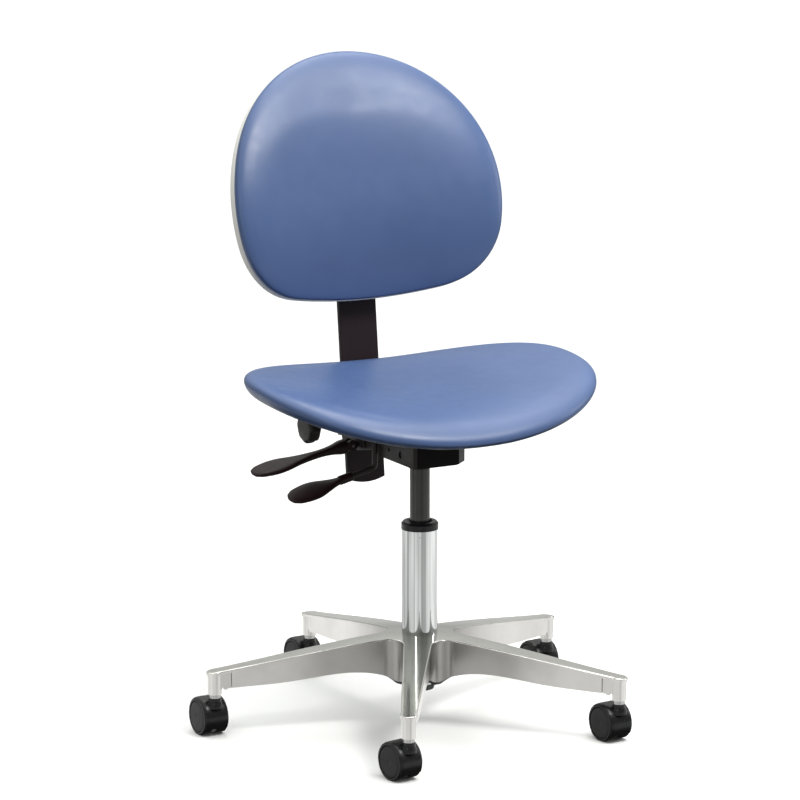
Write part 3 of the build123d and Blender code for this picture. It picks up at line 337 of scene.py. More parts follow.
def cast_coat():
    """Polished aluminium casting: bright tops, sides ground to a satin finish, and painted shade that darkens
    the sides' colour towards the hub.
    """
    coat = new_coat("polished_aluminium_finish", metallic=1.0)
    tint(coat, noise_node(coat, 30, 4), *tones((0.80, 0.785, 0.75), 0.93, 1.02))
    tree = coat.node_tree
    parts, links, shader = tree_of(coat)
    facing = parts.new("ShaderNodeNewGeometry")
    split = parts.new("ShaderNodeSeparateXYZ")
    place = parts.new("ShaderNodeTexCoord")
    flat = parts.new("ShaderNodeVectorMath")
    flat.operation = "MULTIPLY"
    flat.inputs[1].default_value = (1, 1, 0)
    away = parts.new("ShaderNodeVectorMath")
    away.operation = "LENGTH"
    links.new(facing.outputs["True Normal"], split.inputs["Vector"])
    links.new(place.outputs["Object"], flat.inputs[0])
    links.new(flat.outputs["Vector"], away.inputs[0])
    # painted shade: the base colour of the side faces is darkened near the hub, while faces that point up
    # keep it
    outward = stretched(tree, away.outputs["Value"], HUB_SHADE_SPAN, (HUB_SHADE_LEVEL, 1))
    topside = stretched(tree, split.outputs["Z"], (0.2, 0.8), (0, 1))
    ramp = shader.inputs["Base Color"].links[0].from_socket
    links.new(darkened(tree, ramp, combined(tree, "MAXIMUM", outward, topside)), shader.inputs["Base Color"])
    scratch = parts.new("ShaderNodeMath")
    scratch.operation = "MULTIPLY_ADD"
    scratch.inputs[1].default_value = SCRATCH
    links.new(noise_node(coat, 120, 5, (1, 1, 6)), scratch.inputs[0])
    links.new(stretched(tree, split.outputs["Z"], (0.15, 0.9), (SIDE_ROUGH, TOP_ROUGH)), scratch.inputs[2])
    links.new(scratch.outputs["Value"], shader.inputs["Roughness"])
    relief(coat, (noise_node(coat, 260, 3, (1, 1, 8)), 0.003), (noise_node(coat, 12, 2), 0.12))
    return coat


def wood_coat():
    """Plywood behind a black lining: dark, dull, with faint grain."""
    coat = new_coat("plywood_finish", specular=0.3)
    tint(coat, noise_node(coat, 40, 6, (1, 12, 12)), *tones((0.030, 0.027, 0.026), 0.7, 1.5))
    roughen(coat, noise_node(coat, 200, 3), 0.7, 0.85)
    relief(coat, (noise_node(coat, 900, 2), 0.05))
    return coat


vinyl = vinyl_coat()
aluminium = cast_coat()
plywood = wood_coat()
# painted reflection: the chrome's base colour runs in long vertical streaks from dark to light grey, standing
# in for reflected bright panels
chrome = metal_coat("chrome_finish", (0.30, 0.31, 0.305), (0.76, 0.78, 0.765), (0.03, 0.07),
                    (48, 2, (1, 1, 0.07)), (500, (1, 1, 0.15), 0.0008))
steel = metal_coat("bearing_steel_finish", *tones((0.47, 0.47, 0.455), 0.96, 1.02), (0.18, 0.30))
dark_steel = metal_coat("dark_steel_finish", *tones((0.13, 0.12, 0.12), 0.96, 1.02), (0.30, 0.42))
shell_white = plastic_coat("shell_white_finish", (0.90, 0.89, 0.86), 0.38,
                           grain=0.03, grain_scale=900, vary=0.02)
tube_black = plastic_coat("tube_black_finish", (0.024, 0.025, 0.022), 0.22,
                          grain=0.001, vary=0.05, specular=0.5)
steel_black = plastic_coat("steel_black_finish", (0.030, 0.026, 0.025), 0.40,
                           grain=0.03, grain_scale=1100, specular=0.2)
bar_black = plastic_coat("bar_black_finish", (0.019, 0.011, 0.014), 0.48,
                         grain=0.04, grain_scale=900, specular=0.2)
gloss_black = plastic_coat("gloss_black_finish", (0.004, 0.002, 0.002), 0.14, grain=0.001, specular=0.05)
moulded_black = plastic_coat("moulded_black_finish", (0.022, 0.010, 0.012), 0.34,
                             grain_scale=1300, specular=0.16)
knob_black = plastic_coat("knob_black_finish", (0.018, 0.016, 0.015), 0.42,
                          grain=0.03, grain_scale=1300, specular=0.25)
castor_black = plastic_coat("castor_black_finish", (0.010, 0.010, 0.011), 0.28, grain=0.01, grain_scale=1300)
castor_grey = plastic_coat("castor_disc_finish", (0.030, 0.030, 0.030), 0.46, grain_scale=1300, specular=0.2)
tyre_black = plastic_coat("castor_tyre_finish", (0.007, 0.007, 0.007), 0.34)
rubber = plastic_coat("rubber_finish", (0.020, 0.020, 0.020), 0.62, grain=0.04)

# ---------------------------------------------------------------- pads
PAD_CELLS = 36                # quads across a pad's face
RIM_STEPS = 6
SIM_FRAMES = 16
STRETCH_STIFFNESS, BEND_STIFFNESS = 25, 4
SMOOTHING_ROUNDS = 8
PUFF = 1.5                    # most that the foam pushes the vinyl out, in millimetres
NO_SHIFT = 1e-9               # metres


def disc_grid():
    """A square grid bent into the unit disc: its points, its quads and its rim in order."""
    steps = np.tan(np.linspace(-1, 1, PAD_CELLS + 1) * math.pi / 4)
    across, along = np.meshgrid(steps, steps, indexing="ij")
    points = np.stack((across * np.sqrt(1 - along ** 2 / 2), along * np.sqrt(1 - across ** 2 / 2)), -1)
    row = PAD_CELLS + 1
    quads = []
    for i in range(PAD_CELLS):
        for j in range(PAD_CELLS):
            quads.append((i * row + j, (i + 1) * row + j, (i + 1) * row + j + 1, i * row + j + 1))
    rim = [i * row for i in range(PAD_CELLS)]
    rim += [PAD_CELLS * row + j for j in range(PAD_CELLS)]
    rim += [(PAD_CELLS - i) * row + PAD_CELLS for i in range(PAD_CELLS)]
    rim += [PAD_CELLS - j for j in range(PAD_CELLS)]
    return points.reshape(-1, 2), quads, rim


def slab(name, reach, place, front, edge, back):
    """A closed slab with an outline: reach(angle) is the outline's radius and place(s, t, off) its surface.

    front(share) and back(share) are the offsets of its two faces at a share of the radius. edge is a list
    of (inset, offset) pairs that lead round the rim, from the front face to the back face; the offset None
    follows the front face.
    """
    grid, quads, rim = disc_grid()
    points = []
    faces = []

    def ring_point(flat, inset, offset):
        """Point at the rim, in the direction of this grid point."""
        angle = math.atan2(flat[1], flat[0])
        full = reach(angle)
        radius = full - inset
        height = front(radius / full) if offset is None else offset
        return place(radius * math.cos(angle), radius * math.sin(angle), height)

    for face, inset in ((front, edge[0][0]), (back, edge[-1][0])):
        first = len(points)
        for flat in grid:
            radius = math.hypot(*flat)
            angle = math.atan2(flat[1], flat[0])
            full = reach(angle)
            spot = radius * (full - inset)
            points.append(place(spot * math.cos(angle), spot * math.sin(angle), face(spot / full)))
        faces += [tuple(first + corner for corner in quad) for quad in quads]
    size = len(grid)
    rings = [list(rim)]
    for inset, offset in edge[1:-1]:
        first = len(points)
        points += [ring_point(grid[corner], inset, offset) for corner in rim]
        rings.append(list(range(first, first + len(rim))))
    rings.append([size + corner for corner in rim])
    for upper, lower in zip(rings, rings[1:]):
        for step in range(len(rim)):
            after = (step + 1) % len(rim)
            faces.append((upper[step], upper[after], lower[after], lower[step]))
    return mesh_object(name, points, faces)


def quarter(width, height):
    """Quarter of an ellipse, as (inset, offset) pairs from the rim to the face."""
    angles = [math.pi / 2 * step / RIM_STEPS for step in range(RIM_STEPS + 1)]
    return [(width * (1 - math.cos(angle)), height * math.sin(angle)) for angle in angles]


def inflate(piece, pressure):
    """Blow a pad up like foam under taut vinyl, evenly and by less than PUFF."""
    rest = np.array([vertex.co for vertex in piece.data.vertices])
    cloth = piece.modifiers.new("foam", "CLOTH")
    cloth.settings.use_pressure = True
    cloth.settings.uniform_pressure_force = pressure
    cloth.settings.tension_stiffness = STRETCH_STIFFNESS
    cloth.settings.compression_stiffness = STRETCH_STIFFNESS
    cloth.settings.bending_stiffness = BEND_STIFFNESS
    cloth.settings.effector_weights.gravity = 0
    cloth.point_cache.frame_start = 1
    cloth.point_cache.frame_end = SIM_FRAMES
    for moment in range(1, SIM_FRAMES + 1):
        scene.frame_set(moment)
    seen = piece.evaluated_get(bpy.context.evaluated_depsgraph_get())
    moved = np.array([vertex.co for vertex in seen.data.vertices])
    piece.modifiers.remove(cloth)
    scene.frame_set(1)
    shift = moved - rest
    ends = np.array([edge.vertices[:] for edge in piece.data.edges])
    for _ in range(SMOOTHING_ROUNDS):
        total = np.zeros_like(shift)
        count = np.zeros((len(shift), 1))
        for near, far in ((0, 1), (1, 0)):
            np.add.at(total, ends[:, near], shift[ends[:, far]])
            np.add.at(count, ends[:, near], 1)
        shift = (shift + total / count) / 2
    length = np.linalg.norm(shift, axis=1, keepdims=True)
    limit = PUFF * MM
    shift *= np.where(length > NO_SHIFT, limit * np.tanh(length / limit) / np.maximum(length, NO_SHIFT), 0)
    piece.data.vertices.foreach_set("co", (rest + shift).ravel())
    piece.data.update()


def smooth_out(piece, levels=2):
    """Subdivide a piece into a smooth surface."""
    divide = piece.modifiers.new("smooth", "SUBSURF")
    divide.levels = levels
    divide.render_levels = levels


# the seat
SEAT_HALF = 250.5
SEAT_FRONT, SEAT_REAR = 182.3, 155
SEAT_POWER = 2.41
SEAT_SHIFT = 1.4
SEAT_MID_Z = 457.8
SADDLE_AT, SLOPE_AT = 250, 200     # how far from the middle the next four heights are reached
SEAT_SADDLE, SEAT_DIP, SEAT_KICK, SEAT_TILT = 37.9, 8.5, 23.0, 13.9
SEAT_THICK = 31.6
SEAT_ROLL, SEAT_THIN = 7, 0.42     # how far the pad's top rolls down at its front, and its foot stays up
SEAT_TOP_RIM, SEAT_FOOT_RIM = 31, 17
LINING_INSET = 22


def seat_reach(angle):
    """Radius of the seat's outline in this direction."""
    depth = SEAT_REAR if math.sin(angle) > 0 else SEAT_FRONT
    return (abs(math.cos(angle) / SEAT_HALF) ** SEAT_POWER
            + abs(math.sin(angle) / depth) ** SEAT_POWER) ** (-1 / SEAT_POWER)


def seat_place(s, t, off):
    """Point at this offset from the seat pad's middle surface."""
    forward = -t
    run = forward / SLOPE_AT
    slope = -SEAT_DIP * run ** 3 if forward > 0 else SEAT_KICK * run ** 2
    height = SEAT_MID_Z + SEAT_SADDLE * (s / SADDLE_AT) ** 2 + slope - SEAT_TILT * run
    radius = math.hypot(s, t)
    roll = 0
    if forward > 0:
        roll = (radius / seat_reach(math.atan2(t, s))) ** 5 * forward / radius
    if off < 0:
        off *= 1 - SEAT_THIN * roll
    return s, t + SEAT_SHIFT, height + off - SEAT_ROLL * roll


def make_seat():
    """Saddle-shaped vinyl pad, with its black lining below."""
    half = SEAT_THICK / 2
    rim = quarter(SEAT_TOP_RIM, half)[::-1] + quarter(SEAT_FOOT_RIM, -half)[1:]
    pad = slab("seat_pad", seat_reach, seat_place, lambda share: half, rim, lambda share: -half)
    inflate(pad, 1.5)
    smooth_out(pad)
    settle(pad, "carriage", "vinyl_blue", vinyl, "seat_cushion")
    above, below = -half + 0.2, -half - 1.3
    edge = [(1.2, above), (0.3, above - 0.1), (0, above - 0.8), (0.4, below + 0.2), (1.4, below)]
    lining = slab("seat_lining", lambda angle: seat_reach(angle) - LINING_INSET, seat_place,
                  lambda share: above, edge, lambda share: below)
    settle(lining, "carriage", "plywood", plywood)


# the backrest
BACK_LEAN = math.radians(13.7)
BACK_Y, BACK_Z = 160, 620
BACK_WRAP_R = 505
BACK_R, BACK_R_U = 214.5, 90.5
BACK_LOW_R, BACK_LOW_U = 900, -45.5
BACK_CORNER_R = 105
BACK_CENTRE_U = 112
PAD_EDGE, PAD_CROWN = 14, 17
PAD_RIM = 26                  # width of the pad's rim, where it falls fastest
PAD_LOW = -3                  # the pad is widest this far ahead of its middle surface
SHOULDER, FALL = 3.0, 0.52
RIM_RINGS, RIM_CROWDING = 9, 1.6
FOOT_RIM = 4.5
SHELL_DEPTH, SHELL_WALL, SHELL_DOME = 12.5, 3, 3.6
SHELL_DROP = 4                # the shell's top is this much lower than the pad's
LOW_FALL, LOW_AT, LOW_POWER = 0.64, 157, 2.5    # how much thinner the pad is at its foot, and where
TOP_FALL, TOP_AT, TOP_POWER = 0.22, 193, 3      # the same at its top
LIP = -9                      # front edge of the shell's wall, past the pad's back edge

low_centre = BACK_LOW_U + BACK_LOW_R
corner_v = ((BACK_LOW_R + BACK_LOW_U) ** 2 - BACK_R_U ** 2 - (BACK_LOW_R - BACK_CORNER_R) ** 2
            + (BACK_R - BACK_CORNER_R) ** 2) / (2 * (BACK_LOW_R + BACK_LOW_U - BACK_R_U))
corner_s = math.sqrt((BACK_R - BACK_CORNER_R) ** 2 - (corner_v - BACK_R_U) ** 2)


def back_low(arc):
    """Lowest point of the backrest's outline at this sideways distance."""
    away = abs(arc)
    if away <= BACK_LOW_R * corner_s / (BACK_LOW_R - BACK_CORNER_R):
        return low_centre - math.sqrt(BACK_LOW_R ** 2 - arc ** 2)
    if away <= BACK_R * corner_s / (BACK_R - BACK_CORNER_R):
        return corner_v - math.sqrt(max(0, BACK_CORNER_R ** 2 - (away - corner_s) ** 2))
    return BACK_R_U - math.sqrt(max(0, BACK_R ** 2 - arc ** 2))


def back_reach(angle):
    """Radius of the backrest's outline in this direction, by halving."""
    inside, outside = 50.0, 260.0
    for _ in range(30):
        middle = (inside + outside) / 2
        arc = middle * math.cos(angle)
        up = BACK_CENTRE_U + middle * math.sin(angle)
        within = abs(arc) < BACK_R and back_low(arc) <= up <= BACK_R_U + math.sqrt(BACK_R ** 2 - arc ** 2)
        if within:
            inside = middle
        else:
            outside = middle
    return inside


def back_place(s, t, off):
    """Point at this distance ahead of the backrest's surface, which wraps round the sitter."""
    x = BACK_WRAP_R * math.sin(s / BACK_WRAP_R)
    if off > 0:
        off *= 1 - (LOW_FALL * (-t / LOW_AT) ** LOW_POWER if t < 0 else TOP_FALL * (t / TOP_AT) ** TOP_POWER)
    out = off + BACK_WRAP_R - math.sqrt(BACK_WRAP_R ** 2 - x ** 2)
    up = t + BACK_CENTRE_U
    return (x, BACK_Y + up * math.sin(BACK_LEAN) - out * math.cos(BACK_LEAN),
            BACK_Z + up * math.cos(BACK_LEAN) + out * math.sin(BACK_LEAN))


def make_backrest():
    """Crowned vinyl pad and the white shell behind it."""
    def face(share):
        """Height of the pad's front at this share of its radius: flat in the middle, falling to the rim."""
        return PAD_LOW + (PAD_EDGE + PAD_CROWN - PAD_LOW) * (1 - share ** SHOULDER) ** FALL

    widest = PAD_RIM / BACK_R
    shares = 1 - np.linspace(widest, 0, RIM_RINGS) ** RIM_CROWDING * widest ** (1 - RIM_CROWDING)
    rim = [(BACK_R * (1 - share), None) for share in shares] + quarter(FOOT_RIM, 1 - PAD_EDGE)[1:]
    pad = slab("backrest_pad", back_reach, back_place, face, rim, lambda share: 1 - PAD_EDGE)
    inflate(pad, 1.0)
    smooth_out(pad)
    settle(pad, "backrest", "vinyl_blue", vinyl, "backrest_cushion")
    outer = -PAD_EDGE - SHELL_DEPTH
    inner = outer + SHELL_WALL
    rim = [(SHELL_WALL + 4, inner), (SHELL_WALL + 1, inner + 1.2), (SHELL_WALL, inner + 4),
           (SHELL_WALL, LIP - 0.6), (SHELL_WALL - 0.4, LIP), (0.6, LIP), (0.1, LIP - 0.5), (0, LIP - 2),
           (0.2, outer + 6), (1.2, outer + 3), (3.2, outer + 1), (6.5, outer)]
    shell = slab("backrest_cover", lambda angle: back_reach(angle) - SHELL_DROP * max(0, math.sin(angle)),
                 back_place, lambda share: inner - SHELL_DOME * (1 - share ** 2), rim,
                 lambda share: outer - SHELL_DOME * (1 - share ** 2))
    smooth_out(shell, 1)
    settle(shell, "backrest", "shell_white", shell_white, "backrest_shell")


# ---------------------------------------------------------------- castors
WHEEL_R = 25.4
WHEEL_WIDTH = 14.6
WHEEL_GAP = 7.4
TRAIL = 19.2
HOOD_R = 28
HOOD_WALL = 1.7
HOOD_TOP = 55.3
HOOD_HALF = WHEEL_GAP / 2 + WHEEL_WIDTH - 1
HOOD_REAR, HOOD_FRONT = math.radians(-5), math.radians(210)
HOOD_ARCS, HOOD_STATIONS = 44, 14      # steps round the hood, and across it
WEB_HALF, WEB_HUB_R, WEB_HUB_STEPS = 2.7, 7, 8
WHEEL_STEPS = 72


def axle_frame(side):
    """From a wheel's own frame, turned about Z, to the castor's frame with its axle along X."""
    return Matrix.Translation((0, TRAIL, WHEEL_R)) @ Matrix.Rotation(math.radians(90) * side, 4, "Y")


def wheel_mesh(name, side, place):
    """One wheel: tyre with round shoulders, a fine groove, and a slightly domed grey disc."""
    near = WHEEL_GAP / 2
    far = near + WHEEL_WIDTH
    tyre = rounded([(3.2, near), (9, near), (10, near + 2), (19.5, near + 2), (21, near), (WHEEL_R, near),
                    (WHEEL_R, far), (22.3, far), (21.9, far - 1.6), (3.2, far - 1.6)], 1.9, 5)
    disc = rounded([(0.02, far - 2), (21.7, far - 2), (21.7, far - 0.5), (17, far - 0.1), (8, far),
                    (0.02, far)], 0.7, 3)
    turn = place @ axle_frame(side)
    tyre_piece = lathe(name + "_tyre", tyre, WHEEL_STEPS, turn)
    disc_piece = lathe(name + "_disc", disc, WHEEL_STEPS, turn)
    split = len(tyre_piece.data.polygons)
    wheel = joined(name, [tyre_piece, disc_piece])
    for face in wheel.data.polygons:
        face.material_index = 0 if face.index < split else 1
    return wheel


def hood_mesh(name, place):
    """The castor's housing: a curved hood over both wheels, a web between them and a boss for the stem."""
    def round_axle(angle, across, radius):
        """Point at this angle and distance round the axle."""
        return place @ Vector((across, TRAIL + radius * math.cos(angle), WHEEL_R + radius * math.sin(angle)))

    outline = []
    for step in range(HOOD_STATIONS + 1):
        across = -HOOD_HALF + 2 * HOOD_HALF * step / HOOD_STATIONS
        outline.append((across, HOOD_R - 1.2 * abs(across / HOOD_HALF) ** 8))
    outline += [(across, radius - HOOD_WALL) for across, radius in reversed(outline)]
    outline = rounded(outline, 0.5, 2)
    sweep = HOOD_FRONT - HOOD_REAR
    angles = [HOOD_REAR + sweep * step / HOOD_ARCS for step in range(HOOD_ARCS + 1)]
    points = [round_axle(angle, *corner) for angle in angles for corner in outline]
    shell = mesh_object(name + "_shell", points, loops_faces(len(angles), len(outline)))
    edge = [(angle, HOOD_R - HOOD_WALL / 2) for angle in angles]
    for step in range(WEB_HUB_STEPS + 1):
        edge.append((HOOD_FRONT + (2 * math.pi - sweep) * step / WEB_HUB_STEPS, WEB_HUB_R))
    web = [round_axle(angle, across, radius) for across in (-WEB_HALF, WEB_HALF) for angle, radius in edge]
    web_piece = mesh_object(name + "_web", web, loops_faces(2, len(edge)))
    flare = rounded([(5.6, HOOD_TOP), (5.6, 40), (11, 40), (10.4, 46), (8.8, 50), (8.6, HOOD_TOP)], 1.0, 4)
    boss = lathe(name + "_boss", flare, 48, place)
    return joined(name, [shell, web_piece, boss])


def make_castors():
    """Five twin-wheel castors, each turned its own way."""
    for joint in frame["joints"]:
        words = joint["name"].split("_")
        if words[0] != "castor" or words[-1] != "left":
            continue
        castor = "castor_" + words[1]
        low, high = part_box(castor + "_stem")
        spot = (Vector(low) + Vector(high)) / 2 / MM
        turn = math.atan2(joint["axis"][1], joint["axis"][0])
        place = Matrix.Translation((spot.x, spot.y, 0)) @ Matrix.Rotation(turn, 4, "Z")
        hood = hood_mesh(castor + "_hood", place)
        soften(hood, 0.4, angle=50)
        settle(hood, castor, "castor_black", castor_black, castor + "_housing")
        for side, word in ((1, "left"), (-1, "right")):
            body = f"{castor}_wheel_{word}"
            wheel = wheel_mesh(body + "_finished", side, place)
            settle(wheel, body, "castor_wheel", [tyre_black, castor_grey], body)


# ---------------------------------------------------------------- levers and knob
LEVER_Y = 44
CLAMP_X, CLAMP_Y, CLAMP_Z = -52, 109, 380
HEIGHT_SLOPE, BACK_SLOPE = math.radians(-13.3), math.radians(-9.6)
HEIGHT_ROOT = (-84, LEVER_Y, 351)
CHEEK_WIDTH = 6.6             # of the two halves of the back lever's cam
PADDLE_LOOPS, SECTION_POINTS, SQUARENESS = 40, 28, 2.6
KNOB_LOBES, KNOB_POINTS = 8, 96
KNOB_ROWS = (                 # depth, radius, height of the lobes
    (0, 4, 0), (0, 16, 0), (0.4, 19, 0.2), (1.6, 21.4, 0.6), (4, 22.6, 1.2), (9, 22.8, 1.5),
    (15, 22.4, 1.2), (17, 21, 0.5), (18, 18, 0), (18, 4.2, 0))


def between(stations, distance, column):
    """A station value at this distance, on a smooth curve through the stations."""
    places = [station[0] for station in stations]
    values = [station[column] for station in stations]
    slopes = np.gradient(values, places)
    number = min(max(int(np.searchsorted(places, distance)) - 1, 0), len(places) - 2)
    gap = places[number + 1] - places[number]
    t = (distance - places[number]) / gap
    return ((2 * t ** 3 - 3 * t ** 2 + 1) * values[number] + (t ** 3 - 2 * t ** 2 + t) * gap * slopes[number]
            + (-2 * t ** 3 + 3 * t ** 2) * values[number + 1] + (t ** 3 - t ** 2) * gap * slopes[number + 1])


def paddle(name, root, slope, stations):
    """A lever handle: rounded sections along a line that points to the sitter's right and down.

    Each station is a distance along it, a width, a height and a twist in degrees.
    """
    def rounder(value):
        """Turn a circle's coordinate into a rounded square's."""
        return math.copysign(abs(value) ** (2 / SQUARENESS), value)

    along = Vector((-math.cos(slope), 0, math.sin(slope)))
    points = []
    first, last = stations[0][0], stations[-1][0]
    for step in range(PADDLE_LOOPS + 1):
        share = 0.5 - 0.5 * math.cos(math.pi * step / PADDLE_LOOPS)
        distance = first + (last - first) * share
        width = between(stations, distance, 1) / 2
        height = between(stations, distance, 2) / 2
        twist = math.radians(between(stations, distance, 3))
        across = Vector((0, 1, 0)) * math.cos(twist) + along.cross(Vector((0, 1, 0))) * math.sin(twist)
        rise = along.cross(across)
        for corner in range(SECTION_POINTS):
            angle = 2 * math.pi * corner / SECTION_POINTS
            side, lift = rounder(math.cos(angle)) * width, rounder(math.sin(angle)) * height
            points.append(Vector(root) + along * distance + across * side + rise * lift)
    return mesh_object(name, points, loops_faces(PADDLE_LOOPS + 1, SECTION_POINTS))


def ring(name, inner, outer, near, far, bend, steps, place):
    """A turned ring with round edges."""
    outline = [(inner, near), (outer, near), (outer, far), (inner, far)]
    return lathe(name, rounded(outline, bend), steps, place)


def make_levers():
    """The two moulded lever handles."""
    upper = paddle("back_lever_blade", (CLAMP_X, CLAMP_Y, CLAMP_Z), BACK_SLOPE, (
        (7, 19, 20, 0), (14, 18.4, 20, 0), (28, 15.5, 14, 0), (45, 13.5, 10.5, 0), (62, 16, 10, -5),
        (83, 24, 9, -10), (108, 35, 8, -15), (134, 34, 7.2, -15), (149, 23, 5.6, -14), (153, 15, 4.2, -14),
        (154.5, 6, 2, -14)))
    smooth_out(upper, 1)
    lower = paddle("height_lever_blade", HEIGHT_ROOT, HEIGHT_SLOPE, (
        (0, 12, 10, 0), (10, 13, 9.5, -2), (20, 15, 9, -4), (38, 26, 8.4, -15), (55, 36, 8, -21),
        (76, 37, 7.2, -21), (92, 27, 5.8, -20), (97, 17, 4.2, -20), (99, 6, 2, -20)))
    along = Vector((-math.cos(HEIGHT_SLOPE), 0, math.sin(HEIGHT_SLOPE)))
    turn = along.to_track_quat("Z", "Y").to_matrix().to_4x4()
    socket_place = Matrix.Translation(Vector(HEIGHT_ROOT) - along) @ turn
    socket = ring("height_lever_socket", 4.1, 6.6, 0, 20, 1.2, 40, socket_place)
    lower = joined("height_lever_grip", [lower, socket])
    cam_place = Matrix.Translation((CLAMP_X, CLAMP_Y, CLAMP_Z)) @ Matrix.Rotation(math.radians(90), 4, "X")
    cheeks = [ring("cheek", 2.05, 8, near, near + CHEEK_WIDTH, 1.0, 48, cam_place)
              for near in (-10, 10 - CHEEK_WIDTH)]
    upper = joined("back_lever_grip", [upper] + cheeks)
    settle(upper, "back_lever", "moulded_black", moulded_black, "back_lever_handle")
    settle(lower, "height_lever", "moulded_black", moulded_black, "height_lever_handle")


def make_knob():
    """The fluted clamp knob."""
    low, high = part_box("clamp_knob")
    centre = (Vector(low) + Vector(high)) / 2 / MM
    face_x, back_x = low[0] / MM, high[0] / MM - 6
    points = []
    for depth, radius, lobe in KNOB_ROWS:
        for step in range(KNOB_POINTS):
            angle = 2 * math.pi * step / KNOB_POINTS
            reach = radius + lobe * math.cos(KNOB_LOBES * angle)
            points.append((face_x + depth, centre.y + reach * math.cos(angle),
                           centre.z + reach * math.sin(angle)))
    head = mesh_object("knob_head", points, loops_faces(len(KNOB_ROWS), KNOB_POINTS))
    hub_place = Matrix.Translation((back_x, centre.y, centre.z)) @ Matrix.Rotation(math.radians(90), 4, "Y")
    hub = lathe("knob_hub", rounded([(4.1, -2), (11.5, -2), (10, 5.9), (4.1, 5.9)], 1.0), 48, hub_place)
    knob = joined("clamp_knob_grip", [head, hub])
    settle(knob, "knob", "moulded_black", knob_black, "clamp_knob")


# ---------------------------------------------------------------- carried-over pieces
def make_frame_pieces():
    """Round edges for the pressed and moulded pieces, and better materials for the CAD nodes that stay."""
    for name, body, slot, coat, width in (
            ("mechanism_housing", "carriage", "steel_black", steel_black, 0.7),
            ("seat_plate", "carriage", "steel_black", steel_black, 0.7),
            ("front_cover", "carriage", "gloss_black", gloss_black, 3.0),
            ("back_bracket", "back_frame", "steel_black", steel_black, 0.7),
            ("back_bar", "backrest", "bar_black", bar_black, 0.6)):
        settle(refined(name, width), body, slot, coat, name)
    coats = {
        "base_star": aluminium, "column_tube": chrome, "guide_bush": moulded_black,
        "column_collar": castor_black, "gas_cylinder": tube_black, "taper_socket": steel_black,
        "height_lever_arm": steel_black, "bumper": rubber,
        "seat_pan": plywood, "seat_board": plywood, "backrest_board": plywood,
        "lever_pin": dark_steel, "clamp_bolt": dark_steel, "pivot_pin": dark_steel, "knob_stud": dark_steel,
    }
    for name, node in nodes.items():
        coat = coats.get(name, steel)
        if node.hide_render:
            continue
        if not node.data.materials:
            node.data.materials.append(coat)
        for index in range(len(node.data.materials)):
            node.data.materials[index] = coat


# ---------------------------------------------------------------- stage
BOUNCE_R, BOUNCE_DEPTH, BOUNCE_LEVEL = 2.0, 1.0, 1.15      # metres, metres, strength
STREAK_SCALE, STREAK_RANGE, STREAK_DIM = 2.6, (0.38, 0.52), 0.6
SKY_STRENGTH = 1.8
SKY = ((0.0, 0.05), (0.27, 0.06), (0.36, 0.14), (0.48, 0.30), (0.50, 0.34), (0.56, 0.24),
       (0.64, 0.29), (0.75, 0.40), (0.86, 0.88), (1.0, 1.0))      # share of the height, level
SKY_TONE = (0.985, 1, 0.97)
WARM = (1.0, 0.985, 0.96)
LAMPS = (      # name, place, target, size, watts, colour
    ("overhead", (0.3, -0.2, 2.5), (0, 0.0, 0.55), (1.1, 1.2), 10, WARM),
    ("rear_top", (0.45, 0.55, 2.2), (0, -0.1, 0.47), (1.0, 0.5), 7, WARM),
    ("high_front", (0.6, -1.5, 2.5), (0, 0.1, 0.85), (1.1, 0.7), 42, WARM),
    ("right_strip", (2.6, -0.85, 1.25), (0, 0.1, 0.7), (0.45, 1.2), 12, (0.98, 0.99, 1.0)),
    ("left_strip", (-2.2, -1.6, 1.6), (0, 0.1, 0.7), (0.4, 1.2), 6, (1.0, 0.99, 0.97)))
CAMERA_SPOT, CAMERA_TARGET = (-2.7252, -4.9618, 1.6254), (-0.0241, 0.0131, 0.4582)
LENS, SENSOR = 189, 36        # millimetres


def streaks(tree, source, stretch, level):
    """Soft bands of dim and full light, as a room with bright panels gives."""
    flat = tree.nodes.new("ShaderNodeMapping")
    flat.inputs["Scale"].default_value = stretch
    panels = tree.nodes.new("ShaderNodeTexNoise")
    panels.inputs["Scale"].default_value = STREAK_SCALE
    panels.inputs["Detail"].default_value = 1
    tree.links.new(source, flat.inputs["Vector"])
    tree.links.new(flat.outputs["Vector"], panels.inputs["Vector"])
    return stretched(tree, panels.outputs["Fac"], STREAK_RANGE, (STREAK_DIM * level, level))


def make_floor():
    """Plain pale floor."""
    bpy.ops.mesh.primitive_plane_add(size=60)
    floor = bpy.context.object
    floor.name = "floor"
    paper = bpy.data.materials.new("floor_paper")
    _, _, shader = tree_of(paper)
    shader.inputs["Base Color"].default_value = (0.94, 0.94, 0.94, 1)
    shader.inputs["Roughness"].default_value = 0.9
    shader.inputs["Specular IOR Level"].default_value = 0.1
    floor.data.materials.append(paper)
    floor.visible_diffuse = False
    floor.visible_glossy = False


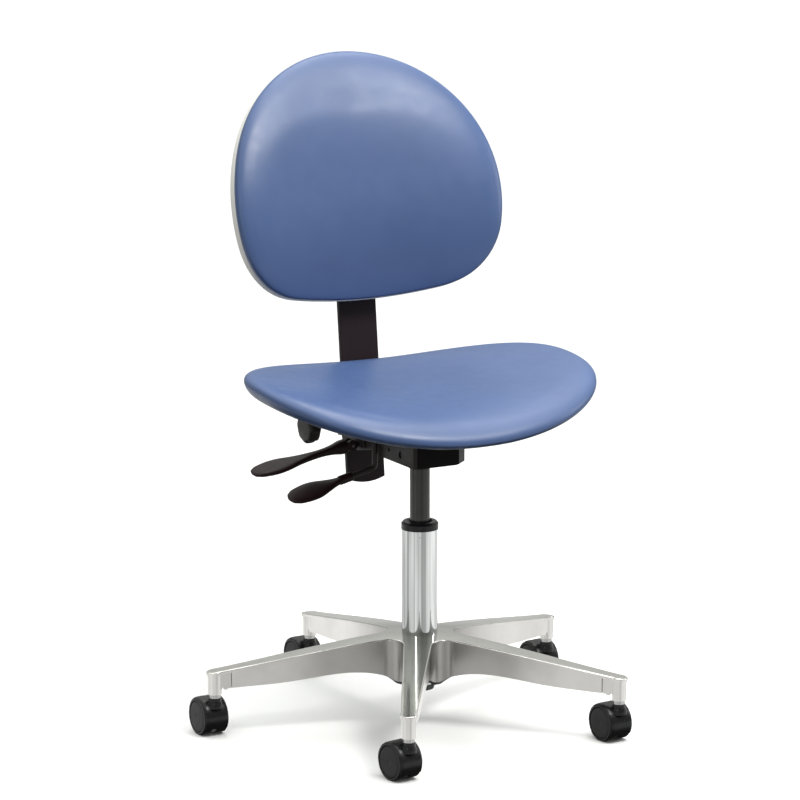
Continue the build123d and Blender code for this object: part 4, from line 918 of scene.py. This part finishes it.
def make_bounce():
    """What polished pieces see of the bright floor further out: a low ring with soft streaks."""
    bpy.ops.mesh.primitive_cylinder_add(vertices=128, radius=BOUNCE_R, depth=BOUNCE_DEPTH,
                                        end_fill_type="NOTHING", location=(0, 0, -BOUNCE_DEPTH / 2))
    bounce = bpy.context.object
    bounce.name = "floor_bounce"
    glow = bpy.data.materials.new("floor_bounce")
    glow.use_nodes = True
    tree = glow.node_tree
    parts, links = tree.nodes, tree.links
    parts.remove(parts["Principled BSDF"])
    light = parts.new("ShaderNodeEmission")
    place = parts.new("ShaderNodeTexCoord")
    split = parts.new("ShaderNodeSeparateXYZ")
    links.new(place.outputs["Object"], split.inputs["Vector"])
    bands = streaks(tree, place.outputs["Object"], (1 / BOUNCE_R, 1 / BOUNCE_R, 0.05), BOUNCE_LEVEL)
    fade = stretched(tree, split.outputs["Z"], (-BOUNCE_DEPTH / 2, -BOUNCE_DEPTH / 5), (0, 1))
    links.new(combined(tree, "MULTIPLY", bands, fade), light.inputs["Strength"])
    links.new(light.outputs["Emission"], parts["Material Output"].inputs["Surface"])
    bounce.data.materials.append(glow)
    bounce.visible_camera = False
    bounce.visible_diffuse = False
    bounce.visible_shadow = False
    bounce.visible_transmission = False


def make_sky():
    """The room: dark below with streaks of light, bright overhead, dimmer behind the camera."""
    world = bpy.data.worlds.new("studio")
    scene.world = world
    world.use_nodes = True
    tree = world.node_tree
    parts, links = tree.nodes, tree.links
    back = parts["Background"]
    back.inputs["Strength"].default_value = SKY_STRENGTH
    place = parts.new("ShaderNodeTexCoord")
    split = parts.new("ShaderNodeSeparateXYZ")
    ramp = parts.new("ShaderNodeValToRGB")
    stops = ramp.color_ramp.elements
    for height, _ in SKY[1:-1]:
        stops.new(height)
    for stop, (height, level) in zip(stops, SKY):
        stop.position = height
        stop.color = (*(level * part for part in SKY_TONE), 1)
    links.new(place.outputs["Generated"], split.inputs["Vector"])
    links.new(stretched(tree, split.outputs["Z"], (-1, 1), (0, 1)), ramp.inputs["Fac"])
    side = parts.new("ShaderNodeMix")
    links.new(stretched(tree, split.outputs["Z"], (-0.03, 0.03), (0, 1)), side.inputs["Factor"])
    links.new(streaks(tree, place.outputs["Generated"], (1, 1, 0.1), 1), side.inputs["A"])
    links.new(stretched(tree, split.outputs["Y"], (-0.9, 0.1), (0.5, 1)), side.inputs["B"])
    links.new(darkened(tree, ramp.outputs["Color"], side.outputs["Result"]), back.inputs["Color"])


def make_lights():
    """Soft studio lights."""
    for name, spot, target, size, power, colour in LAMPS:
        light = bpy.data.lights.new(name, "AREA")
        light.shape = "RECTANGLE"
        light.size, light.size_y = size
        light.energy = power
        light.color = colour
        lamp = bpy.data.objects.new(name, light)
        scene.collection.objects.link(lamp)
        lamp.location = spot
        lamp.rotation_euler = (Vector(target) - Vector(spot)).to_track_quat("-Z", "Y").to_euler()
        lamp.visible_camera = False


def make_camera():
    """The photo's view."""
    camera_data = bpy.data.cameras.new("camera")
    camera_data.lens = LENS
    camera_data.sensor_width = SENSOR
    camera = bpy.data.objects.new("camera", camera_data)
    scene.collection.objects.link(camera)
    camera.location = CAMERA_SPOT
    towards = Vector(CAMERA_TARGET) - Vector(CAMERA_SPOT)
    camera.rotation_euler = towards.to_track_quat("-Z", "Y").to_euler()
    scene.camera = camera


make_seat()
make_backrest()
make_castors()
make_levers()
make_knob()
make_frame_pieces()
make_floor()
make_bounce()
make_sky()
make_lights()
make_camera()
